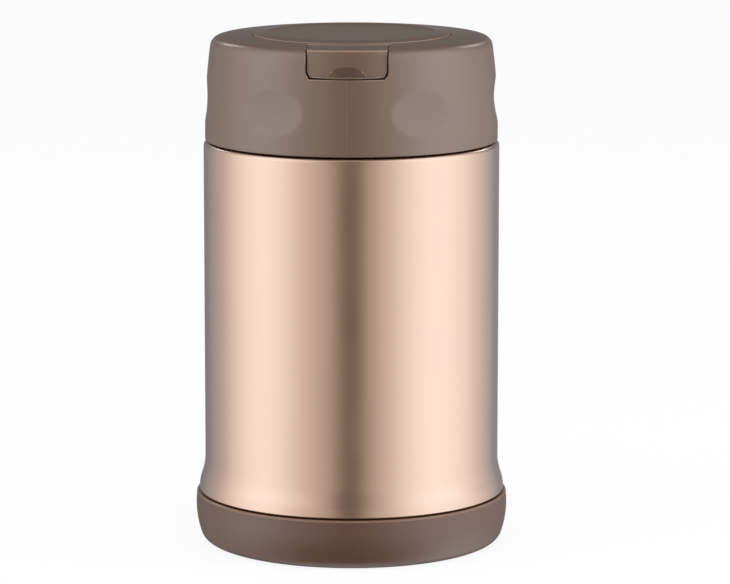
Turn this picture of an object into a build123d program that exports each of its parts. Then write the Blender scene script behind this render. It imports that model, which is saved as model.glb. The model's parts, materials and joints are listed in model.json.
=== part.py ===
from build123d import *
import os
from math import asin, degrees, radians, sin, sqrt, tan

# Insulated food jar: a double-walled steel jar under vacuum, a plastic base cover, and a screw lid.
# The lid is an insulated inner lid with the thread, under a cap-shaped cover. A hinged release tab
# at the front hooks the cover to the inner lid, so that the two come apart for washing.
#
# Millimetres. +Z is up, z = 0 is the face that the jar stands on, the jar's axis is the Z axis,
# and the release tab faces -Y. The outlines below are drawn as (radius, height) pairs.

# ---------------------------------------------------------------- steel body
body_r = 45.0             # outside radius of the steel shell
seam_z = 124.2            # height of the seam between shell and lid
seam_gap = 0.6            # gap that shows at the seam
steel = 0.5               # thickness of the steel sheet
shoulder_fillet = 1.4     # rounding of the shell's top edge
shoulder_w = 6.4          # width of the shoulder, from the wall in to the threaded neck
neck_h = 16.0             # height of the neck above the shell's shoulder
neck_root_fillet = 1.2
rim_fillet = 2.2          # the neck curls in to the mouth on this radius
flare_out = 1.8           # how far the shell flares out to meet the base cover
flare_h = 9.8             # height of the S-shaped flare
flare_turn = 0.5          # share of that height at which the S turns
hem_h = 0.8               # straight hem under the flare
hem_fillet = 0.6
skirt_lap = 12.4          # height of the hem above the shell's bottom, inside the base cover
skirt_bend = 0.5          # bend between hem and skirt
skirt_foot_gap = 0.6      # the skirt ends this far above the lowest steel

# ---------------------------------------------------------------- inner vessel and vacuum space
rim_w = 2.9               # width of the rim, from the neck's outside in to the mouth
mouth_h = 15.0            # straight height of the mouth, down from the rim
vacuum_w = 4.5            # width of the vacuum space between the two walls
vessel_neck_h = 10.0      # height of the S-bend between mouth and wall
vessel_corner = 9.0       # rounding of the vessel's bottom corner
vessel_gap_z = 5.3        # height of the vacuum space between the two bottoms
vessel_ring_w = 16.0      # width of the low ring around the raised middle of the vessel's bottom
vessel_floor_step = 0.8
vessel_floor_slope_w = 2.0
vessel_floor_bend = 1.5
weld_gap = 0.05           # fit of a welded or bonded lap joint
bottom_flange_h = 4.0     # height of the flange of the shell's bottom
bottom_ring_w = 12.0      # width of the low ring of the shell's bottom
bottom_step = 1.2         # rise of its middle above that ring
bottom_corner = 1.5
bottom_slope_w = 1.5      # width of the slope up to the middle
bottom_bend = 1.0
exhaust_r = 0.9           # hole through which the space is pumped out
dimple_seat_r = 4.6       # the dimple around it, which holds the sealing bead
dimple_seat_h = 1.2
dimple_slope_w = 0.9
bead_h = 0.9              # height of the bead's head, inside the dimple
bead_margin = 0.5         # the head is this much smaller than the dimple
bead_round = 0.3
shield_gap = 0.3          # reflective foil around the vessel
shield_t = 0.2
shield_margin = 10.0      # bare height of the vessel's wall above and below the foil
getter_r = 4.0
getter_h = 2.0
getter_round = 0.4
getter_x = 16.0           # distance of the getter from the jar's axis

# ---------------------------------------------------------------- base cover
base_lip_out = 0.85       # the lip, before its rounding, stands out this far from the flare
base_bulge = 0.19         # the widest place stands out this far from the lip
base_max_z = 12.0         # height of that widest place
base_lip_fillet = 0.75
base_lip_gap = 0.3        # seam between the lip and the shell's hem
base_side_r = 28.0        # radius of the side's bulge
base_side_deg = 19.0      # how far the side turns in before the foot's corner
foot_w = 7.5              # width of the foot ring
foot_recess = 1.5         # height of the recess inside the foot ring
base_floor_t = 1.6        # thickness of the cover's floor
base_wall = 2.0           # thickness of its wall at the lip
base_fit = 0.15           # clearance of the cover around the shell's skirt
cushion_w = 9.5           # width of the pad between cover and steel bottom
cushion_fit = 0.1
cushion_space = 1.9       # height of the space for the pad
cushion_round = 0.4
foot_round = 0.5
floor_round = 1.0

# ---------------------------------------------------------------- lid cover
cover_step = 0.5          # the lid cover's lower edge lies this far inside the shell's wall
cover_edge_h = 4.0        # straight band above the seam
cover_wall_h = 29.45      # height of the wall above the seam
cover_barrel_r = 185.0    # radius of the wall's barrel curve
cover_corner = 2.0        # rounding between the wall and the shoulder
cover_shoulder_deg = 3.0  # slope of the shoulder around the top plate
cover_wall = 1.6          # wall thickness
cover_ceiling_drop = 0.25 # the ceiling lies this far below the top of the wall
cover_edge_fillet = 0.4
plate_in = 14.6           # the round plate's edge lies this far inside the cover's lower edge
plate_fit = 0.2           # clearance around it
plate_seat_t = 1.5        # thickness of the seat under it
plate_edge_h = 1.1        # height of its edge above the seat
plate_rise = 0.9          # rise of its bevel
plate_bevel_w = 3.9       # width of the sloping edge
plate_dish = 0.3          # depth of the dished middle
plate_rim_w = 0.6         # flat rim between bevel and dish
plate_edge_fillet = 0.25
plate_bend = 0.8          # rounding at the top of the bevel and at the foot of the dish
plate_rim_fillet = 0.4
grip_count = 6            # oval grip dimples around the wall
grip_h = 12.6             # height of their centres above the seam
grip_half_w = 9.8
grip_half_h = 6.9
grip_depth = 0.65

# ---------------------------------------------------------------- inner lid
plug_fit = 1.1            # clearance of the plug in the mouth
plug_depth = 12.9         # how far the plug reaches below the rim
plug_wall = 1.6
flange_gap = 1.4          # space for the gasket between rim and flange
flange_t = 2.0
thread_space = 1.6        # radial space between neck and skirt, where the thread runs
skirt_wall = 1.4
skirt_clear = 1.4         # height of the skirt's edge above the shell's shoulder
drum_h = 4.2              # height of the drum above the flange
catch_reach = 1.8         # how far the catch rim stands out from the drum
catch_edge_t = 1.0        # thickness of the catch rim at its edge
catch_deg = 32.0          # slope of the catch rim's underside
cap_seat_w = 1.35         # ledge inside the drum that carries the foam's cap
cap_t = 1.5
cap_fit = 0.15
foam_fit = 0.15
groove_depth = 0.6        # groove in the plug that holds the gasket
gasket_fit = 0.2          # clearance of the gasket to what it turns against
gasket_overhang = 0.3     # the rim is this much wider than the gasket
gasket_round = 0.2
plug_corner = 2.0         # rounding of the plug's lower edge
plug_hollow_corner = 1.0  # and of its hollow
skirt_root_fillet = 0.5
skirt_edge_fillet = 0.4
flange_fillet = 1.0
drum_root_fillet = 0.6
drum_edge_fillet = 0.3
foam_corner = 1.2
cap_proud = 0.1           # the cap stands this far above the drum
cap_rim_w = 6.0           # width of the rim around the cap's dish
cap_slope_w = 0.8
cap_dish = 0.5            # depth of the dish

# ---------------------------------------------------------------- keys between cover and inner lid
key_count = 6
key_w = 2.0
key_fit = 0.2
key_guide_w = 1.2         # the two ribs beside each key
key_guide_h = 0.5
key_margin = 1.2          # the keys start this far above the skirt's edge
key_rest_w = 2.1          # the part of the key that rests on the flange
key_rest_h = 1.5
key_seat_gap = 0.15       # clearance of the key's tip and rest to the inner lid
key_guide_drop = 1.5      # the guiding ribs end this far below the flange's top

# ---------------------------------------------------------------- release tab
tab_half_w = 11.65
tab_slot = 0.7            # gap at the tab's sides and rear
tab_sill_gap = 0.5        # gap under the tab
tab_face_h = 6.15         # the tab reaches this far below the top of the wall
tab_edge_in = 3.0         # its top front edge lies this far inside the cover's lower edge
tab_foot_out = 1.0        # its lower edge stands out this far from the top front edge
tab_edge_fillet = 0.4
tab_rear_fillet = 0.8
tab_foot_fillet = 0.2
tab_wall = 1.6
tab_inner_fillet = 0.8    # inside corner between panel and face
tab_under = 0.5           # the panel's underside lies this far above the ceiling
tab_corner_w = 1.0        # cut of the tab's lower corners
tab_corner_h = 1.8
frame_wall = 0.8          # wall between the plate's seat and the tab's opening
barrel_gap = 0.15         # distance of the hinge barrel behind the tab's rear edge
hinge_drop = 1.6          # depth of the axis under the shoulder's surface
barrel_r = 1.45
trunnion_r = 0.85
trunnion_fit = 0.06       # running clearance in the cover's ears
trunnion_l = 2.3
trunnion_end_gap = 0.3    # clearance at the bore's blind end
ear_l = 3.0               # length of the ears along the axis
ear_half_w = 2.3
ear_drop = 1.5            # how far the ears hang below the ceiling
hook_half_w = 5.0
hook_clear = 0.35         # clearance between hook and catch rim
hook_t = 1.6
hook_bite = 0.9           # how far the nib reaches under the catch rim
nib_gap = 0.2
nib_t = 1.6
nib_foot_t = 1.1          # height of the nib at its foot
nib_slope_w = 0.6
hook_foot_fillet = 0.4
gusset_w = 1.2
gusset_x = 3.4            # distance of the two gussets from the tab's middle
scoop_half_w = 6.4        # thumb scoop at the tab's lower edge
scoop_h = 3.2
scoop_depth = 2.2
scoop_wall = 1.2          # wall behind the scoop
lip_t = 0.7
lip_reach = 1.4           # the lip below the scoop stands out this far from the face
lip_fillet = 0.3
rear_hook_half_w = 7.0    # fixed hook opposite the tab
root = 0.3                # a fused feature runs this far into what carries it


# ---------------------------------------------------------------- derived heights and radii
neck_r = body_r - shoulder_w
mouth_r = neck_r - rim_w
vessel_r = body_r - steel - vacuum_w
vessel_floor_r = vessel_r - vessel_ring_w
flare_r = body_r + flare_out
base_lip_r = flare_r + base_lip_out
base_max_r = base_lip_r + base_bulge
cover_r = body_r - cover_step
plate_r = cover_r - plate_in
plug_r = mouth_r - plug_fit
catch_r = plug_r + catch_reach
tab_edge_r = cover_r - tab_edge_in
tab_foot_r = tab_edge_r + tab_foot_out
tab_rear_r = plate_r + plate_fit + frame_wall + tab_slot
hinge_y = -(tab_rear_r + barrel_r + barrel_gap)
cover_ceiling_h = cover_wall_h - cover_ceiling_drop
plate_seat_h = cover_ceiling_h + plate_seat_t
plate_foot_h = plate_seat_h + plate_edge_h
plate_top_h = plate_foot_h + plate_rise
shoulder_z = seam_z - seam_gap / 2
rim_z = shoulder_z + neck_h
cover_z = seam_z + seam_gap / 2
base_floor_z = foot_recess + base_floor_t
steel_bottom_z = base_floor_z + cushion_space
vessel_z = steel_bottom_z + bottom_step + vessel_gap_z
skirt_r = base_lip_r - base_wall - base_fit
hem_z = steel_bottom_z + skirt_lap
lip_z = hem_z - base_lip_gap
vessel_neck_r = mouth_r + steel
ceiling_z = seam_z + cover_ceiling_h
flange_z = rim_z + flange_gap
flange_top = flange_z + flange_t
plug_z = rim_z - plug_depth
thread_r = neck_r + thread_space
skirt_out_r = thread_r + skirt_wall
skirt_z = shoulder_z + skirt_clear
drum_top = flange_top + drum_h
catch_edge_z = drum_top - catch_edge_t
barrel_turn = degrees(asin((cover_wall_h - cover_edge_h) / cover_barrel_r))
tab_z = seam_z + cover_wall_h - tab_face_h
hook_r = catch_r + hook_clear


def turned(*corners):
    """Solid of revolution about Z from corners (radius, height) or (radius, height, fillet)."""
    points = [corner[:2] for corner in corners]
    fillets = [corner[2] if len(corner) > 2 else 0 for corner in corners]
    return turn_lines(FilletPolyline(*points, radius=fillets, close=True))


def turn_lines(*lines):
    """Solid of revolution about Z of the closed outline that the lines make together."""
    edges = [edge for line in lines for edge in line.edges()]
    return revolve(Plane.XZ * make_face(edges), Axis.Z)


def pressed_sheet(side, *lines):
    """Turned sheet-metal shell: the lines are its outer face, the steel lies on the given side."""
    outer = Wire([edge for line in lines for edge in line.edges()])
    return revolve(Plane.XZ * make_face(offset(outer, steel, side=side).edges()), Axis.Z)


def s_bend(low, high, turn=0.5):
    """Two arcs between two points, upright at both. They meet at a share of the way up."""
    middle = (low[0] + turn * (high[0] - low[0]), low[1] + turn * (high[1] - low[1]))
    return [TangentArc(low, middle, tangent=(0, 1)), TangentArc(high, middle, tangent=(0, -1))]


def around(count, shape, start=0.0):
    """Copies of a shape, evenly spaced about Z."""
    return [Rot(Z=start + 360 / count * k) * shape for k in range(count)]


def block(x, y, z):
    """Box between the given pairs of limits."""
    corner = Pos(x[0], y[0], z[0])
    return corner * Box(x[1] - x[0], y[1] - y[0], z[1] - z[0], align=(Align.MIN,) * 3)


def upright(radius, height):
    """Cylinder that stands on the XY plane."""
    return Cylinder(radius, height, align=(Align.CENTER, Align.CENTER, Align.MIN))


def catch_line(r):
    """Height of the catch rim's sloping underside at a radius."""
    return catch_edge_z - (catch_r - r) * tan(radians(catch_deg))


# ---------------------------------------------------------------- steel body
def outer_shell():
    """Drawn steel shell: lower skirt, hem, flare, wall, shoulder and the neck up to the rim."""
    lower = FilletPolyline(
        (skirt_r, steel_bottom_z + skirt_foot_gap),
        (skirt_r, hem_z),
        (flare_r, hem_z),
        (flare_r, hem_z + hem_h),
        radius=[skirt_bend, hem_fillet],
    )
    flare_top = hem_z + hem_h + flare_h
    upper = FilletPolyline(
        (body_r, flare_top),
        (body_r, shoulder_z),
        (neck_r, shoulder_z),
        (neck_r, rim_z),
        (vessel_neck_r + weld_gap, rim_z),
        radius=[shoulder_fillet, neck_root_fillet, rim_fillet],
    )
    flare = s_bend((flare_r, hem_z + hem_h), (body_r, flare_top), flare_turn)
    return pressed_sheet(Side.LEFT, lower, *flare, upper)


def inner_vessel():
    """Food vessel: straight mouth, S-bend out to the wall, rounded corner and stepped bottom."""
    neck_foot = rim_z - mouth_h
    wall_top = neck_foot - vessel_neck_h
    mouth = Polyline((vessel_neck_r, rim_z), (vessel_neck_r, neck_foot))
    lower = FilletPolyline(
        (vessel_r, wall_top),
        (vessel_r, vessel_z),
        (vessel_floor_r, vessel_z),
        (vessel_floor_r - vessel_floor_slope_w, vessel_z + vessel_floor_step),
        (0, vessel_z + vessel_floor_step),
        radius=[vessel_corner, vessel_floor_bend, vessel_floor_bend],
    )
    return pressed_sheet(Side.RIGHT, mouth, *s_bend((vessel_r, wall_top), (vessel_neck_r, neck_foot)), lower)


def shell_bottom():
    """Pressed bottom welded into the shell's skirt, with the exhaust hole in its middle dimple."""
    flange_r = skirt_r - steel - weld_gap
    ring_r = flange_r - bottom_ring_w
    middle_z = steel_bottom_z + bottom_step
    seat_z = middle_z + dimple_seat_h
    outline = FilletPolyline(
        (flange_r, steel_bottom_z + bottom_flange_h),
        (flange_r, steel_bottom_z),
        (ring_r, steel_bottom_z),
        (ring_r - bottom_slope_w, middle_z),
        (dimple_seat_r + dimple_slope_w, middle_z),
        (dimple_seat_r, seat_z),
        (exhaust_r, seat_z),
        radius=[bottom_corner, bottom_bend, bottom_bend, bead_round, 2 * bead_round],
    )
    return pressed_sheet(Side.RIGHT, outline)


def vacuum_seal():
    """Bead that closes the exhaust hole, with its head in the dimple."""
    head_top = steel_bottom_z + bottom_step + dimple_seat_h - weld_gap
    head_r = dimple_seat_r - bead_margin
    stem_r = exhaust_r - weld_gap
    stem_top = head_top + steel + bead_round
    return turned(
        (0, head_top - bead_h),
        (head_r - bead_h / 2, head_top - bead_h, bead_round),
        (head_r, head_top),
        (stem_r, head_top),
        (stem_r, stem_top, bead_round),
        (0, stem_top),
    )


def heat_shield():
    """Foil sleeve around the vessel that reflects heat across the vacuum space."""
    inside = vessel_r + shield_gap
    low = vessel_z + shield_margin
    high = rim_z - mouth_h - vessel_neck_h - shield_margin / 2
    return turned((inside, low), (inside + shield_t, low), (inside + shield_t, high), (inside, high))


def getter():
    """Pellet on the shell's bottom that keeps the vacuum clean."""
    pellet = fillet(upright(getter_r, getter_h).edges(), getter_round)
    return Pos(getter_x, 0, steel_bottom_z + bottom_step + steel + weld_gap) * pellet


# ---------------------------------------------------------------- base
def base_cover():
    """Moulded cup around the foot of the steel body, with a bulging side and a foot ring."""
    side = JernArc((base_max_r, base_max_z), (0, -1), base_side_r, -base_side_deg)
    corner_r = (side @ 1).Y / (1 - sin(radians(base_side_deg)))
    corner = JernArc(side @ 1, side % 1, corner_r, -(90 - base_side_deg))
    foot_r = (corner @ 1).X
    inside = skirt_r + base_fit
    under = FilletPolyline(
        corner @ 1,
        (foot_r - foot_w, 0),
        (foot_r - foot_w - foot_recess, foot_recess),
        (0, foot_recess),
        radius=[foot_round, floor_round],
    )
    inner = FilletPolyline(
        (0, foot_recess),
        (0, base_floor_z),
        (inside, base_floor_z),
        (inside, lip_z),
        (base_lip_r, lip_z),
        (base_max_r, base_max_z),
        radius=[0, floor_round, 0, base_lip_fillet],
    )
    return turn_lines(side, corner, under, inner)


def base_cushion():
    """Soft ring between the base cover's floor and the low ring of the steel bottom."""
    outside = skirt_r - steel - bottom_corner
    low = base_floor_z + cushion_fit
    high = steel_bottom_z - cushion_fit
    inside = outside - cushion_w
    return turned(
        (inside, low),
        (outside, low, cushion_round),
        (outside, high, cushion_round),
        (inside, high),
    )


# ---------------------------------------------------------------- lid cover
def cover_wall_lines(inset):
    """Edge band and barrel curve of the cover's wall, moved in by an inset."""
    radius = cover_r - inset
    band = Polyline((radius, cover_z), (radius, seam_z + cover_edge_h))
    barrel = JernArc(band @ 1, (0, 1), cover_barrel_r - inset, barrel_turn)
    return band, barrel


def cover_corner_line():
    """Rounding from the top of the cover's wall to the shoulder."""
    barrel = cover_wall_lines(0)[1]
    return JernArc(barrel @ 1, barrel % 1, cover_corner, 90 - barrel_turn - cover_shoulder_deg)


def shoulder_height(r):
    """Height of the shoulder's surface at a radius."""
    edge = cover_corner_line() @ 1
    return edge.Y + (edge.X - r) * tan(radians(cover_shoulder_deg))


def lid_form():
    """Outer form of the whole lid, filled, with the sloping shoulder running to its middle."""
    band, barrel = cover_wall_lines(0)
    corner = cover_corner_line()
    close = Polyline(corner @ 1, (0, shoulder_height(0)), (0, cover_z), (cover_r, cover_z))
    form = turn_lines(band, barrel, corner, close)
    lowest = form.edges().filter_by(GeomType.CIRCLE).group_by(Axis.Z)[0]
    return fillet(lowest, cover_edge_fillet)


def cover_core():
    """The hollow under the lid cover."""
    band, barrel = cover_wall_lines(cover_wall)
    close = Polyline(barrel @ 1, (0, (barrel @ 1).Y), (0, cover_z), (cover_r - cover_wall, cover_z))
    return turn_lines(band, barrel, close)


def grip_cutter(skin):
    """Ring segment whose inner face makes one grip dimple; the skin thickens it for the inside."""
    wall_r = cover_r - (grip_h - cover_edge_h) ** 2 / (2 * cover_barrel_r)
    across = 1 / wall_r - 2 * grip_depth / grip_half_w**2
    upright = 2 * grip_depth / grip_half_h**2 - 1 / cover_barrel_r
    ring_r = 1 / across
    tube_r = 1 / upright
    axis_y = ring_r - (wall_r - grip_depth)
    tube = Pos(X=ring_r + tube_r) * Circle(tube_r + skin)
    span = 4 * degrees(grip_half_w / ring_r)
    ring = Rot(Z=-span / 2) * revolve(Plane.XZ * tube, Axis.Z, span)
    return Pos(0, axis_y, seam_z + grip_h) * Rot(Z=-90) * ring


def tab_window():
    """The opening for the tab: its front view with cut corners, up to the plate's frame."""
    half = tab_half_w + tab_slot
    foot = tab_z - tab_sill_gap
    front = Polyline(
        (-half, foot + tab_corner_h),
        (-half + tab_corner_w, foot),
        (half - tab_corner_w, foot),
        (half, foot + tab_corner_h),
        (half, seam_z + 2 * cover_wall_h),
        (-half, seam_z + 2 * cover_wall_h),
        close=True,
    )
    prism = extrude(Plane.XZ * make_face(front.edges()), amount=2 * cover_r)
    return prism - Cylinder(plate_r + plate_fit + frame_wall, 4 * cover_wall_h + 2 * seam_z)


def key_rib():
    """Rib inside the cover's front: it drives the inner lid and rests on its flange."""
    tip_y = -(skirt_out_r + key_seat_gap)
    wall_y = -(cover_r - cover_wall / 2)
    rest_z = flange_top + key_seat_gap
    profile = Polyline(
        (wall_y, skirt_z + key_margin),
        (tip_y, skirt_z + key_margin),
        (tip_y, rest_z),
        (tip_y + key_rest_w, rest_z),
        (tip_y + key_rest_w, rest_z + key_rest_h),
        (wall_y, rest_z + key_rest_h),
        close=True,
    )
    return extrude(Plane.YZ * make_face(profile.edges()), amount=key_w / 2, both=True)


def hook(half_w, top_z):
    """Finger that hangs down outside the drum, with a nib under the catch rim, facing -Y."""
    tip_r = catch_r - hook_bite
    nib_top = catch_line(hook_r) - nib_gap
    tip_top = catch_line(tip_r) - nib_gap
    foot_z = tip_top - nib_foot_t
    finger = turned(
        (hook_r, top_z),
        (hook_r, nib_top),
        (tip_r, tip_top),
        (tip_r, tip_top - nib_t / 2),
        (tip_r + nib_slope_w, foot_z),
        (hook_r + hook_t, foot_z, hook_foot_fillet),
        (hook_r + hook_t, top_z),
    )
    return finger & block((-half_w, half_w), (-cover_r, 0), (foot_z, top_z))


def lid_cover():
    """Cap-shaped cover with grip dimples, plate seat, tab opening, ears, keys and rear hook."""
    outer = lid_form()
    core = split(cover_core(), Plane.XY.offset(ceiling_z), keep=Keep.BOTTOM)
    # dimples lie at the odd multiples of half their pitch, so that none is under the tab
    half_pitch = 180 / grip_count
    for cutter in around(grip_count, grip_cutter(0), half_pitch):
        outer -= cutter
    for cutter in around(grip_count, grip_cutter(cover_wall), half_pitch):
        core -= cutter
    seat_z = seam_z + plate_seat_h
    cover = outer - core - Pos(Z=seat_z) * upright(plate_r + plate_fit, cover_wall_h)
    for key in around(key_count, key_rib()):
        cover += key & outer
    cover += Rot(Z=180) * hook(rear_hook_half_w, ceiling_z + root)
    ear_x = tab_half_w + tab_slot
    for side in (-1, 1):
        ear_span = sorted((side * ear_x, side * (ear_x + ear_l)))
        ear_depth = (hinge_y - ear_half_w, hinge_y + ear_half_w)
        cover += block(ear_span, ear_depth, (ceiling_z - ear_drop, ceiling_z + root))
    cover -= tab_window()
    bore = Rot(Y=90) * Cylinder(trunnion_r + trunnion_fit, 2 * (tab_half_w + trunnion_l + trunnion_end_gap))
    return cover - Pos(0, hinge_y, hinge_z()) * bore


def hinge_z():
    """Height of the tab's hinge axis."""
    return shoulder_height(-hinge_y) - hinge_drop


def top_plate():
    """Round plate with a bevelled edge and a dished middle, let into the cover's top."""
    low = seam_z + plate_seat_h + weld_gap
    bevel_r = plate_r - plate_bevel_w
    top = seam_z + plate_top_h
    return turned(
        (0, low),
        (plate_r, low),
        (plate_r, seam_z + plate_foot_h, plate_edge_fillet),
        (bevel_r, top, plate_bend),
        (bevel_r - plate_rim_w, top, plate_rim_fillet),
        (bevel_r - 2 * plate_rim_w, top - plate_dish, plate_bend),
        (0, top - plate_dish),
    )


# ---------------------------------------------------------------- inner lid
def inner_lid():
    """Threaded inner lid: plug, gasket groove, flange, skirt, and a drum with the catch rim."""
    hollow_r = plug_r - plug_wall
    cap_seat_r = hollow_r + cap_seat_w
    cap_seat_z = drum_top - cap_t
    groove_r = plug_r - groove_depth
    body = turned(
        (0, plug_z),
        (plug_r, plug_z, plug_corner),
        (plug_r, rim_z - gasket_fit),
        (groove_r, rim_z - gasket_fit),
        (groove_r, flange_z),
        (thread_r, flange_z, skirt_root_fillet),
        (thread_r, skirt_z),
        (skirt_out_r, skirt_z, skirt_edge_fillet),
        (skirt_out_r, flange_top, flange_fillet),
        (plug_r, flange_top, drum_root_fillet),
        (plug_r, catch_line(plug_r)),
        (catch_r, catch_edge_z),
        (catch_r, drum_top, drum_edge_fillet),
        (cap_seat_r, drum_top),
        (cap_seat_r, cap_seat_z),
        (hollow_r, cap_seat_z),
        (hollow_r, plug_z + plug_wall, plug_hollow_corner),
        (0, plug_z + plug_wall),
    )
    guide_x = key_w / 2 + key_fit
    guide = block(
        (guide_x, guide_x + key_guide_w),
        (-skirt_out_r - key_guide_h, -skirt_out_r + skirt_wall / 2),
        (skirt_z + key_margin, flange_top - key_guide_drop),
    )
    for rib in around(key_count, guide) + around(key_count, mirror(guide, Plane.YZ)):
        body += rib
    return body


def insulation_foam():
    """Foam block that fills the inner lid's plug and drum."""
    radius = plug_r - plug_wall - foam_fit
    low = plug_z + plug_wall + foam_fit
    high = drum_top - cap_t - foam_fit
    return turned((0, low), (radius, low, foam_corner), (radius, high), (0, high))


def foam_cap():
    """Disc bonded into the drum's top over the foam."""
    radius = plug_r - plug_wall + cap_seat_w - cap_fit
    low = drum_top - cap_t + weld_gap
    high = drum_top + cap_proud
    dish_r = radius - cap_rim_w
    return turned(
        (0, low),
        (radius, low),
        (radius, high, drum_edge_fillet),
        (dish_r, high),
        (dish_r - cap_slope_w, high - cap_dish),
        (0, high - cap_dish),
    )


def mouth_gasket():
    """Silicone ring between the mouth's rim and the inner lid's flange, held in the plug's groove."""
    inside = plug_r - groove_depth + gasket_fit
    outside = neck_r - gasket_overhang
    low = rim_z + gasket_fit
    high = flange_z - gasket_fit
    return turned((inside, low), (outside, low, gasket_round), (outside, high, gasket_round), (inside, high))


# ---------------------------------------------------------------- release tab
def scoop_dome(skin):
    """Half dome of the thumb scoop, standing on the lip, in front of the tab's face."""
    face_y = -tab_foot_r
    dome_r = (scoop_half_w**2 + scoop_depth**2) / (2 * scoop_depth)
    centre_y = face_y + scoop_depth - dome_r
    rise = sqrt(1 - ((dome_r - scoop_depth) / dome_r) ** 2)
    dome_h = scoop_h / rise
    quarter = EllipticalCenterArc((0, 0), dome_r + skin, dome_h + skin, 0, arc_size=90)
    rest = Polyline(quarter @ 1, (0, 0), quarter @ 0)
    return Pos(0, centre_y, tab_z + lip_t) * turn_lines(quarter, rest)


def release_tab():
    """Hinged tab: top panel, face with thumb scoop and lip, hinge barrel, trunnions and hook."""
    under_z = ceiling_z + tab_under
    shell = turned(
        (tab_rear_r, shoulder_height(tab_rear_r), tab_rear_fillet),
        (tab_edge_r, shoulder_height(tab_edge_r), tab_edge_fillet),
        (tab_foot_r, tab_z, tab_foot_fillet),
        (tab_foot_r - tab_wall, tab_z),
        (tab_edge_r - tab_wall, under_z, tab_inner_fillet),
        (tab_rear_r, under_z),
    )
    front = Polyline(
        (-tab_half_w, tab_z + tab_corner_h),
        (-tab_half_w + tab_corner_w, tab_z),
        (tab_half_w - tab_corner_w, tab_z),
        (tab_half_w, tab_z + tab_corner_h),
        (tab_half_w, seam_z + 2 * cover_wall_h),
        (-tab_half_w, seam_z + 2 * cover_wall_h),
        close=True,
    )
    view = extrude(Plane.XZ * make_face(front.edges()), amount=2 * cover_r)
    tab = shell & view
    axis = Pos(0, hinge_y, hinge_z()) * Rot(Y=90)
    tab += axis * Cylinder(barrel_r, 2 * tab_half_w)
    tab += axis * Cylinder(trunnion_r, 2 * (tab_half_w + trunnion_l))
    tab += hook(hook_half_w, under_z + root)
    # two gussets tie the hook to the face
    for x in (-gusset_x, gusset_x):
        tab += block((x - gusset_w / 2, x + gusset_w / 2), (-tab_foot_r + tab_wall / 2, -hook_r - hook_t / 2),
                     (tab_z + lip_t, under_z + root)) & shell_envelope()
    # the scoop's back, then the scoop itself, and the lip below it
    behind = block((-tab_half_w, tab_half_w), (-tab_foot_r + tab_wall / 2, 0), (tab_z, under_z))
    tab += scoop_dome(scoop_wall) & behind
    tab += lip()
    return tab - scoop_dome(0)


def shell_envelope():
    """Space behind the tab's face."""
    top_z = seam_z + cover_wall_h
    return turned((0, tab_z), (tab_foot_r, tab_z), (tab_edge_r, top_z), (0, top_z))


def lip():
    """Finger lip under the scoop, a slice of a round that stands out from the face."""
    reach = scoop_depth + lip_reach
    lip_r = (scoop_half_w**2 + lip_reach**2) / (2 * lip_reach)
    centre_y = -tab_foot_r - lip_reach + lip_r
    disc = Pos(0, centre_y, tab_z) * Cylinder(lip_r, lip_t, align=(Align.CENTER, Align.CENTER, Align.MIN))
    disc = fillet(disc.edges(), lip_fillet)
    return disc & block((-scoop_half_w, scoop_half_w), (-tab_foot_r - lip_reach, -tab_foot_r + reach),
                        (tab_z, tab_z + lip_t))


parts = {
    "outer_shell": outer_shell,
    "inner_vessel": inner_vessel,
    "shell_bottom": shell_bottom,
    "vacuum_seal": vacuum_seal,
    "heat_shield": heat_shield,
    "getter": getter,
    "base_cover": base_cover,
    "base_cushion": base_cushion,
    "mouth_gasket": mouth_gasket,
    "inner_lid": inner_lid,
    "insulation_foam": insulation_foam,
    "foam_cap": foam_cap,
    "lid_cover": lid_cover,
    "top_plate": top_plate,
    "release_tab": release_tab,
}

os.makedirs("parts", exist_ok=True)
for name, make in parts.items():
    export_step(make(), f"parts/{name}.step")
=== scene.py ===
import json
import logging
import math
from collections.abc import Callable, Iterable, Iterator, Sequence
from contextlib import contextmanager
from dataclasses import dataclass, field
from enum import Enum

import bmesh
import bpy
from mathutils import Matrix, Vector


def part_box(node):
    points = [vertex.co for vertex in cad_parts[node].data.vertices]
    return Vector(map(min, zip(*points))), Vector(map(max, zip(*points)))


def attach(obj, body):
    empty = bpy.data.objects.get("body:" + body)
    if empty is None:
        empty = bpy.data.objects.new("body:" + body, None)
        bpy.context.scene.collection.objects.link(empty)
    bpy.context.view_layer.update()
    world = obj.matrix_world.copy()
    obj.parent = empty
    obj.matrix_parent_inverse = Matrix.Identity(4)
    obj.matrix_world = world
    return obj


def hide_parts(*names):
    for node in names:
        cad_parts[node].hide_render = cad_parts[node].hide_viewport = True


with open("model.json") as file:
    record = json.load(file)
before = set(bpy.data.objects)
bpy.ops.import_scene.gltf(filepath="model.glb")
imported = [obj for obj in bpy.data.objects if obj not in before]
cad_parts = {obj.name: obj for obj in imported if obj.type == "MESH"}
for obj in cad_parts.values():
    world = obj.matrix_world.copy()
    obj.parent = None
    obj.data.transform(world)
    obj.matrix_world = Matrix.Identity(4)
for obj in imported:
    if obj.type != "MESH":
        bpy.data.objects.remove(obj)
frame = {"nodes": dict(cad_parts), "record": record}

# Insulated food jar: the shown surfaces of the steel body, base cover, screw lid and release tab.
# Sizes are millimetres; meshes are built in metres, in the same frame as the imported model.

LOG = logging.getLogger("food_jar")
MM = 0.001
SMOOTH_DEG = 35.0  # edges sharper than this stay crisp
SHARP_DEG = 60.0  # edges sharper than this are broken at the tab's opening
TOUCH = 0.05  # millimetres within which a point counts as on a surface
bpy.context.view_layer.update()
Colour = tuple[float, float, float]
Point = tuple[float, float]
Piece = bpy.types.Object
Socket = bpy.types.NodeSocket
FaceTest = Callable[[Vector, Vector], bool]


class Body(Enum):
    """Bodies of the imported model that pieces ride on."""

    JAR = "jar"
    LID = "lid"
    TAB = "tab"


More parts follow.
